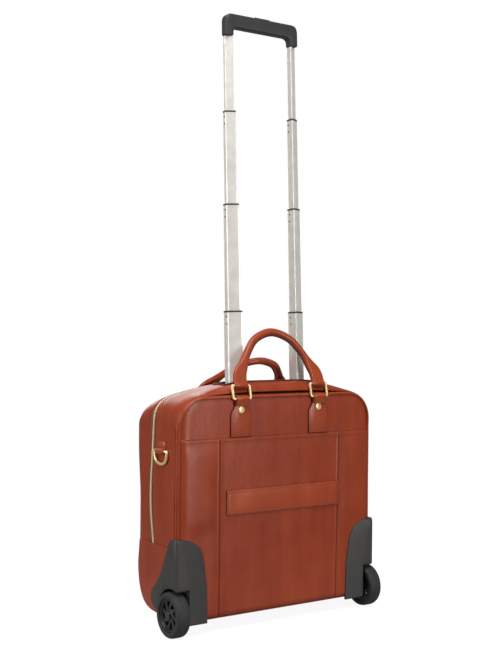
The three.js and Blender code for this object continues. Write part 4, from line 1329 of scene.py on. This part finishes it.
def make_shoulder_rings():
    wire = 4.0
    for side, sign in SIDES:
        low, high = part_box(f"d_ring_{side}")
        middle = (low + high) / 2
        half, drop = (high.y - low.y) / 2 / MM - wire / 2, (high.z - low.z) / MM - wire
        top = high.z - wire / 2 * MM
        arc = curve((-half, 0), (-half, -drop * 0.78), (-half * 0.6, -drop), (0, -drop), steps=10)
        loop = arc + [Vector((-p.x, p.y)) for p in reversed(arc[:-1])]
        bar = [Vector((half * (1 - k / 4), 0)) for k in range(1, 4)]
        path = [Vector((middle.x, middle.y + p.x * MM, top + p.y * MM)) for p in loop + bar]
        ring = tube(f"d_ring_wire_{side}", path, D_RING_HALF, Vector((sign, 0, 0)), closed=True, sides=14)
        new_piece(ring, BRASS, f"shoulder_ring_{side}", [f"d_ring_{side}"])
        softened_node(f"d_ring_loop_{side}", f"d_ring_loop_leather_{side}", TRIM_LEATHER, "case", 0.5)


# ---- wheels and housings -------------------------------------------------------------------------

WHEEL_HALF, RIM_RADIUS = 12.5, 27.0


def make_wheel(side, sign):
    low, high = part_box(f"tyre_{side}")
    centre = (low + high) / 2
    half = WHEEL_HALF
    shoulder = curve((32.0, half), (35.6, half - 0.2), (36.9, half - 3.5), (37, half - 8), steps=8)
    outer = [(RIM_RADIUS, half - 1.2), (RIM_RADIUS + 1.2, half - 0.2)] + [(p.x, p.y) for p in shoulder]
    tyre = lathe_x(f"tyre_tread_{side}", outer + [(r, -x) for r, x in reversed(outer)], centre, 96)
    piece = new_piece(tyre, RUBBER, f"wheel_{side}", [f"tyre_{side}"])
    smooth_by_angle(piece, 40)

    def polar(radius, angle):
        return radius * math.cos(angle), radius * math.sin(angle)

    windows = []
    for spoke in range(8):
        start = spoke * math.pi / 4
        inner = [polar(11.5, start + 0.12), polar(15, start + 0.26), polar(19, start + 0.34),
                 polar(22.4, start + 0.34)]
        outer = [polar(22.6, start + 0.60), polar(22.4, start + 0.86), polar(19, start + 0.80),
                 polar(15, start + 0.68), polar(11.5, start + 0.50)]
        windows.append(inner + outer)
    spot = lambda u, v, w: centre + Vector((sign * w, u, v)) * MM
    spokes = prism(f"hub_spokes_{side}", circle(24.2, 64), spot, 1.0, 7.4, 0.7, 2, windows)

    def turned(part, steps, *profile):
        return lathe_x(f"hub_{part}_{side}", [(r, sign * x) for r, x in profile], centre, steps)

    rim = turned("rim", 72, (23.4, -10), (23.4, 8.0), (24.0, 9.6), (25.2, 10.4), (26.3, 10.2), (26.8, 9.2),
                 (26.8, -10))
    boss = turned("boss", 48, (4.4, -10), (4.4, 8.2), (8.5, 8.2), (10.4, 7.6), (11.4, 6.4), (11.8, 4),
                  (11.8, -4), (9, -10))
    cap = turned("cap", 40, (0.05, 7.0), (7.6, 7.0), (7.6, 9.4), (6.8, 10.6), (5.2, 11.2), (4.4, 10.7),
                 (0.05, 10.6))
    piece = new_piece(joined(f"hub_moulding_{side}", [spokes, rim, boss, cap]), HUB,
                      f"wheel_{side}", [f"wheel_hub_{side}"])
    smooth_by_angle(piece, 40)


def make_housing(side, sign):
    """The housing's moulding with rounded edges, one screw, and a back plate with a raised facet."""
    softened_node(f"wheel_housing_{side}", f"housing_moulding_{side}", HOUSING, "case", 1.4,
                  3)
    low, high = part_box(f"wheel_housing_{side}")
    outer = high.x if sign > 0 else low.x
    screw = Vector((outer, place(0, 36, 0).y, 0.092))
    head = dome_mesh(f"housing_screw_{side}", screw, Vector((sign, 0, 0)), 3.0, 0.5)
    new_piece(head, HUB, "case")
    # The back plate's outline, and the raised facet inside it, from the outer top corner round to the arch.
    rim = [(204.6, 159.5), (186, 159), (168, 151), (157, 136), (152, 120), (146.5, 80), (145.5, 19.6),
           (183.4, 19.6), (183.4, 76.4), (204.6, 76.4)]
    raised = [(203, 156), (199, 154), (195.5, 144), (192, 130), (189, 116), (180, 79), (177, 22),
              (182.2, 22), (182.2, 78.5), (203, 78.5)]
    points = [place(sign * x, -3.4, z) for x, z in rim] + [place(sign * x, -8.0, z) for x, z in raised]
    count = len(rim)
    faces = [(k, (k + 1) % count, count + (k + 1) % count, count + k) for k in range(count)]
    faces += [tuple(range(count, 2 * count)), tuple(reversed(range(count)))]
    mesh = mesh_of(f"housing_facets_{side}", points, faces)
    outward(mesh)
    plate = new_piece(mesh, HOUSING, "case")
    edges = plate.modifiers.new("edges", "BEVEL")
    edges.width, edges.segments, edges.limit_method, edges.angle_limit = 0.8 * MM, 2, "ANGLE", math.radians(5)
    smooth_by_angle(applied(plate), 9)


def make_feet():
    for side, _ in SIDES:
        softened_node(f"foot_{side}", f"foot_pad_{side}", RUBBER, "case", 1.0, 3)
        softened_node(f"axle_{side}", f"axle_pin_{side}", HUB, "case", 0.4)
    softened_node("slot_bezel", "slot_bezel_plate", HOUSING, "case", 0.5)


# ---- the pull handle -----------------------------------------------------------------------------

POLE_X, POLE_LEAN, POLE_ROOT = 68.3, 2.634, (40.0, 400.0)
POLE_WIDTH, POLE_DEPTH, POLE_STEP, POLE_BEVEL = 13.0, 13.5, 1.6, math.radians(25)
STAGE_TOPS = (529.8, 713.3, 874.0, 1005.2)
POLES = Matrix.Translation(place(0, *POLE_ROOT)) @ Matrix.Rotation(math.radians(-POLE_LEAN), 4, "X")


def along_pole(z):
    return (z - POLE_ROOT[1]) / math.cos(math.radians(POLE_LEAN))


def pole_outline(growth):
    """The right pole's section, as (x, depth) about the pole's line: its bevelled face looks back and out."""
    inside, outside = POLE_X - POLE_WIDTH / 2 - growth, POLE_X + POLE_WIDTH / 2 + growth
    front = POLE_DEPTH / 2 + growth
    back = -POLE_DEPTH / 2 - growth * (1 / math.cos(POLE_BEVEL) + math.tan(POLE_BEVEL))
    outer_back = back + (outside - inside) * math.tan(POLE_BEVEL)
    r, slope = 2 + growth * 0.15, math.tan(POLE_BEVEL)
    corners = (
        ((inside, back + r), (inside, back), (inside + r, back + r * slope)),
        ((outside - r, outer_back - r * slope), (outside, outer_back), (outside, outer_back + r)),
        ((outside, front - r), (outside, front), (outside - r, front)),
        ((inside + r, front), (inside, front), (inside, front - r)),
    )
    return [(p.x, p.y) for a, b, c in corners for p in curve(a, b, c, steps=5)]


def mirrored_outline(outline, sign):
    return outline if sign > 0 else [(-u, v) for u, v in reversed(outline)]


def make_stage(number):
    """One sliding stage: two tubes, black collars at their tops on all but the last stage, and low rivets on
    their sides.
    """
    body = f"stage_{number}"
    growth = POLE_STEP * (len(STAGE_TOPS) - number)
    top = STAGE_TOPS[number - 1]
    for side, sign in SIDES:
        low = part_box(f"{body}_tube_{side}")[0].z / MM
        spot = lambda u, v, w: POLES @ (Vector((u, v, w)) * MM)
        outer = mirrored_outline(pole_outline(growth), sign)
        inner = mirrored_outline(pole_outline(growth - 1.1), sign)
        tube_mesh = prism(f"{body}_pole_{side}", outer, spot, along_pole(low), along_pole(top), 0, 1, [inner])
        piece = new_piece(tube_mesh, POLE_METAL, body, [f"{body}_tube_{side}"])
        smooth_by_angle(piece, 30)
        if number < len(STAGE_TOPS):
            rim = mirrored_outline(pole_outline(growth + 0.35), sign)
            bore = mirrored_outline(pole_outline(growth - 1.25), sign)
            end = along_pole(top)
            collar = prism(f"{body}_collar_{side}", rim, spot, end - 1.6, end + 1.2, 0.35, 2, [bore])
            smooth_by_angle(new_piece(collar, GRIP, body), 40)
        heads = []
        for turn in (-1, 1):
            wall = sign * (POLE_X + turn * (POLE_WIDTH / 2 + growth))
            for drop in (9, 21):
                seat = POLES @ (Vector((wall, 2.9, along_pole(top) - drop)) * MM)
                heads.append(dome_mesh("rivet", seat, Vector((sign * turn, 0, 0)), 1.7, 0.3, 14, 4))
        pair = joined(f"{body}_rivets_{side}", heads)
        finish = POLE_METAL if number == len(STAGE_TOPS) else GRIP
        new_piece(pair, finish, body)


def make_grip():
    """The grip: a rounded bar between two legs, hollowed underneath, with its button let into the top."""
    low, high = along_pole(1005.5), along_pole(1044)
    half, inner, deep, bar = 76.5, 60.5, 8.5, 23.5
    under = high - bar
    right = chain([(0, high)], curve((half - 13, high), (half - 1, high), (half, high - 13), steps=8),
                  [(half, low)], [(inner, low)],
                  curve((inner, low + 6), (inner, under), (inner - 11, under), steps=8), [(0, under)])
    outline = [(p.x, p.y) for p in right] + [(-p.x, p.y) for p in reversed(right[1:-1])]
    spot = lambda u, v, w: POLES @ (Vector((u, w, v)) * MM)
    mesh = prism("grip_moulding", outline, spot, -deep, deep, 3.0, 4)
    piece = new_piece(mesh, GRIP, "stage_4", ["grip"])
    smooth_by_angle(piece, 40)
    button_half, button_deep = 15.0, 6.0
    pad = [(-button_half, -button_deep), (button_half, -button_deep), (button_half, button_deep),
           (-button_half, button_deep)]
    flat = lambda u, v, w: POLES @ (Vector((u, v, w)) * MM)
    button = prism("grip_button_cap", pad, flat, high - 5, high + 1.5, 1.0, 3)
    smooth_by_angle(new_piece(button, GRIP, "button", ["grip_button"]), 40)
    surround = [flat(u * (button_half + 0.9) / button_half, v * (button_deep + 0.9) / button_deep, high + 0.1)
                for u, v in pad]
    up = POLES.to_3x3() @ Vector((0, 0, 1))
    frame_line = sweep("grip_button_frame", surround, lambda share: oval(0.9, 0.45, 8), up, closed=True)
    new_piece(frame_line, HUB, "stage_4")


# ---- zip sliders and pulls -----------------------------------------------------------------------

SLIDER_SEAT = frame_at((ZIP_TOP_DEPTH, ZIP_TOP_Z), ZIP_SLOPE)
SLIDER_X, SLIDER_BASE, SLIDER_BAR = 16.0, 0.5, 5.9


def make_slider(side, sign):
    """A zip slider with a bar between two cheeks, and the pull that turns on that bar."""
    pull_low, pull_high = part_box(f"zip_pull_{side}")
    rounded = [(p.x, p.y) for p in chain(curve((-7, 0), (-7, 3.4), (-2, 4.4), steps=5), [(2, 4.4)],
                                         curve((4.5, 4.4), (7, 4.2), (7, 0), steps=5))]
    outline = rounded + [(u, -v) for u, v in reversed(rounded[1:-1])]
    spot = lambda u, v, w: SLIDER_SEAT @ (Vector((sign * (SLIDER_X + u), v, SLIDER_BASE + w)) * MM)
    body = prism("slider_top", outline, spot, 1.2, 3.2, 0.6, 2)
    foot = prism("slider_foot", [(u * 0.86, v * 0.8) for u, v in outline], spot, 0.0, 0.9, 0.2, 1)
    over_bar = SLIDER_BAR - SLIDER_BASE
    rod = tube("slider_bar", [spot(0, v, over_bar) for v in (-3.4, 0, 3.4)], 0.9, Vector((0, 0, 1)), sides=12)
    cheeks = []
    for turn in (-1, 1):
        arch = [(p.x, p.y) for p in curve((-1.7, 2.6), (-1.7, 7.6), (1.7, 7.6), (1.7, 2.6), steps=8)]
        side_spot = lambda u, v, w, t=turn: spot(u, t * w, v)
        cheeks.append(prism("slider_cheek", arch, side_spot, 2.5, 3.5, 0.25, 1))
    metal_mesh = joined(f"slider_metal_{side}", [body, foot, rod, *cheeks])
    piece = new_piece(metal_mesh, BRASS, f"slider_{side}", [f"zip_slider_{side}"])
    smooth_by_angle(piece, 40)
    end = max(abs(pull_low.x), abs(pull_high.x)) / MM - SLIDER_X
    shape = chain([(2.4, 1.9)], curve((4, 1.9), (5, 3.2), (9, 3.1), steps=5), [(end - 4, 2.7)],
                  curve((end - 4, 2.7), (end, 2.7), (end, 0), steps=6))
    blade_outline = [(p.x, p.y) for p in shape] + [(p.x, -p.y) for p in reversed(shape[:-1])]
    flat = lambda u, v, w: spot(u, v, over_bar + w)
    blade = prism("pull_blade", blade_outline, flat, -0.65, 0.65, 0.3, 2, [circle(1.4, 16, end - 4.6)])
    turned = lambda u, v, w: spot(u, w, over_bar + v)
    eye = prism("pull_eye", circle(1.9, 20), turned, -2.1, 2.1, 0.25, 1, [circle(1.2, 20)])
    neck = prism("pull_neck", [(1.5, -1.9), (3.4, -1.9), (3.4, 1.9), (1.5, 1.9)], flat, -0.6, 0.6, 0.1, 1)
    metal_mesh = joined(f"pull_metal_{side}", [blade, eye, neck])
    piece = new_piece(metal_mesh, BRASS, f"pull_{side}", [f"zip_pull_{side}"])
    smooth_by_angle(piece, 40)


# ---- stitching along the seams -------------------------------------------------------------------

def make_stitching():
    behind = Vector((0, -1, 0))
    rear = [skin(i, zip_at(i, -ZIP_HALF - 3.4), bulge(i, 0.95) + 0.1) for i in range(len(RIM))]
    rows = stitch_mesh("rear_zip_stitches", [rear])
    new_piece(rows, THREAD, "case")
    fore = [skin(i, zip_at(i, ZIP_HALF + 3.6), bulge(i, 0.05) + 0.1) for i in range(len(RIM))]
    rows = stitch_mesh("front_zip_stitches", [fore])
    new_piece(rows, THREAD, "front_flap")
    across = spaced(-HALF_WIDTH + 9, HALF_WIDTH - 9, step=STITCH_PITCH)
    hem = [(place(x, -2.15, POCKET_TOP - 5.6), behind) for x in across]
    rows = stitch_mesh("pocket_hem_stitches", [hem])
    new_piece(rows, THREAD, "case")
    low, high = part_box("back_strap")
    left, right = low.x / MM + 3.4, high.x / MM - 3.4
    bottom, top = low.z / MM + 3.4, high.z / MM - 3.4
    sides = [
        [(left, bottom), (right, bottom)], [(right, bottom), (right, top)], [(right, top), (left, top)],
        [(left, top), (left, bottom)],
    ]
    runs = [resampled([(place(x, -4.95, z), behind) for x, z in line]) for line in sides]
    rows = stitch_mesh("strap_stitches", runs)
    new_piece(rows, THREAD, "case")


def make_front_pocket():
    """A flat pocket with a hemmed top edge on the front flap."""
    low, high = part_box("front_pocket")
    half, bottom, top = high.x / MM, low.z / MM, high.z / MM
    inner = spaced(0, half - 4, half - 1.4, half - 0.4, half, step=7)
    xs = mirrored(inner)
    zs = spaced(bottom, bottom + 0.4, bottom + 1.4, bottom + 4, top - 7, top - 4, top - 1.4, top - 0.4, top,
                step=7)

    def depth_at(x, z):
        rim = min(half - abs(x), z - bottom, top - z)
        puff = 1.2 * ease(half - abs(x), 4, 60) * ease(z - bottom, 4, 60)
        edge = 1.4 * max(0, 1 - rim / 1.6) ** 2
        return front_depth(x, z) + 3.3 + puff - edge + wander(x, 155, z, 0.7)

    rows = [[place(x, depth_at(x, z), z) for x in xs] for z in zs]
    dye_and_shade_rows = [[0.7 * max(0, 1 - min(half - abs(x), z - bottom, top - z) / 0.8) for x in xs] for z in zs]
    mesh = grid_mesh("front_pocket_leather", rows, dye_and_shade=dye_and_shade_rows)
    face_towards(mesh, lambda p: Vector((0, 1, 0)))
    thicken(new_piece(mesh, CASE_LEATHER, "front_flap", ["front_pocket"]), 1.5)
    ahead = Vector((0, 1, 0))
    runs = []
    sewn, low_row, hem_row = half - 3.2, bottom + 3.2, top - 4
    for line in ([(-sewn, hem_row), (-sewn, low_row), (sewn, low_row), (sewn, hem_row)],
                 [(-sewn, hem_row), (sewn, hem_row)]):
        for a, b in zip(line, line[1:]):
            path = resample([Vector(a), Vector(b)], STITCH_PITCH)
            runs.append([(place(p.x, depth_at(p.x, p.y) + 0.1, p.y), ahead) for p in path])
    rows = stitch_mesh("front_pocket_stitches", runs)
    new_piece(rows, THREAD, "front_flap")


def make_inside():
    """The cloth divider that hides the fixed tubes behind the open flap, and plain finishes behind it."""
    shares = spaced(-1, 1, step=0.065)
    rows = []
    for z in spaced(44, 372, step=12):
        half = 186 - 34 * ease(z, 320, 372) ** 2
        rows.append([place(half * s, 57.5 + wander(half * s, 57, z, 1.2, 0.02), z) for s in shares])
    mesh = grid_mesh("divider_lining", rows)
    face_towards(mesh, lambda p: Vector((0, 1, 0)))
    thicken(new_piece(mesh, LINING, "case"), 1.2)
    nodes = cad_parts
    nodes["frame_board"].data.materials.clear()
    nodes["frame_board"].data.materials.append(BOARD)
    for side, _ in SIDES:
        nodes[f"base_tube_{side}"].data.materials.clear()
        nodes[f"base_tube_{side}"].data.materials.append(POLE_METAL)


make_rear_tabs()
make_front_tabs()
make_handles()
make_shoulder_rings()
for side, sign in SIDES:
    make_wheel(side, sign)
    make_housing(side, sign)
    make_slider(side, sign)
make_feet()
for number in range(1, len(STAGE_TOPS) + 1):
    make_stage(number)
make_grip()
make_stitching()
make_front_pocket()
make_inside()
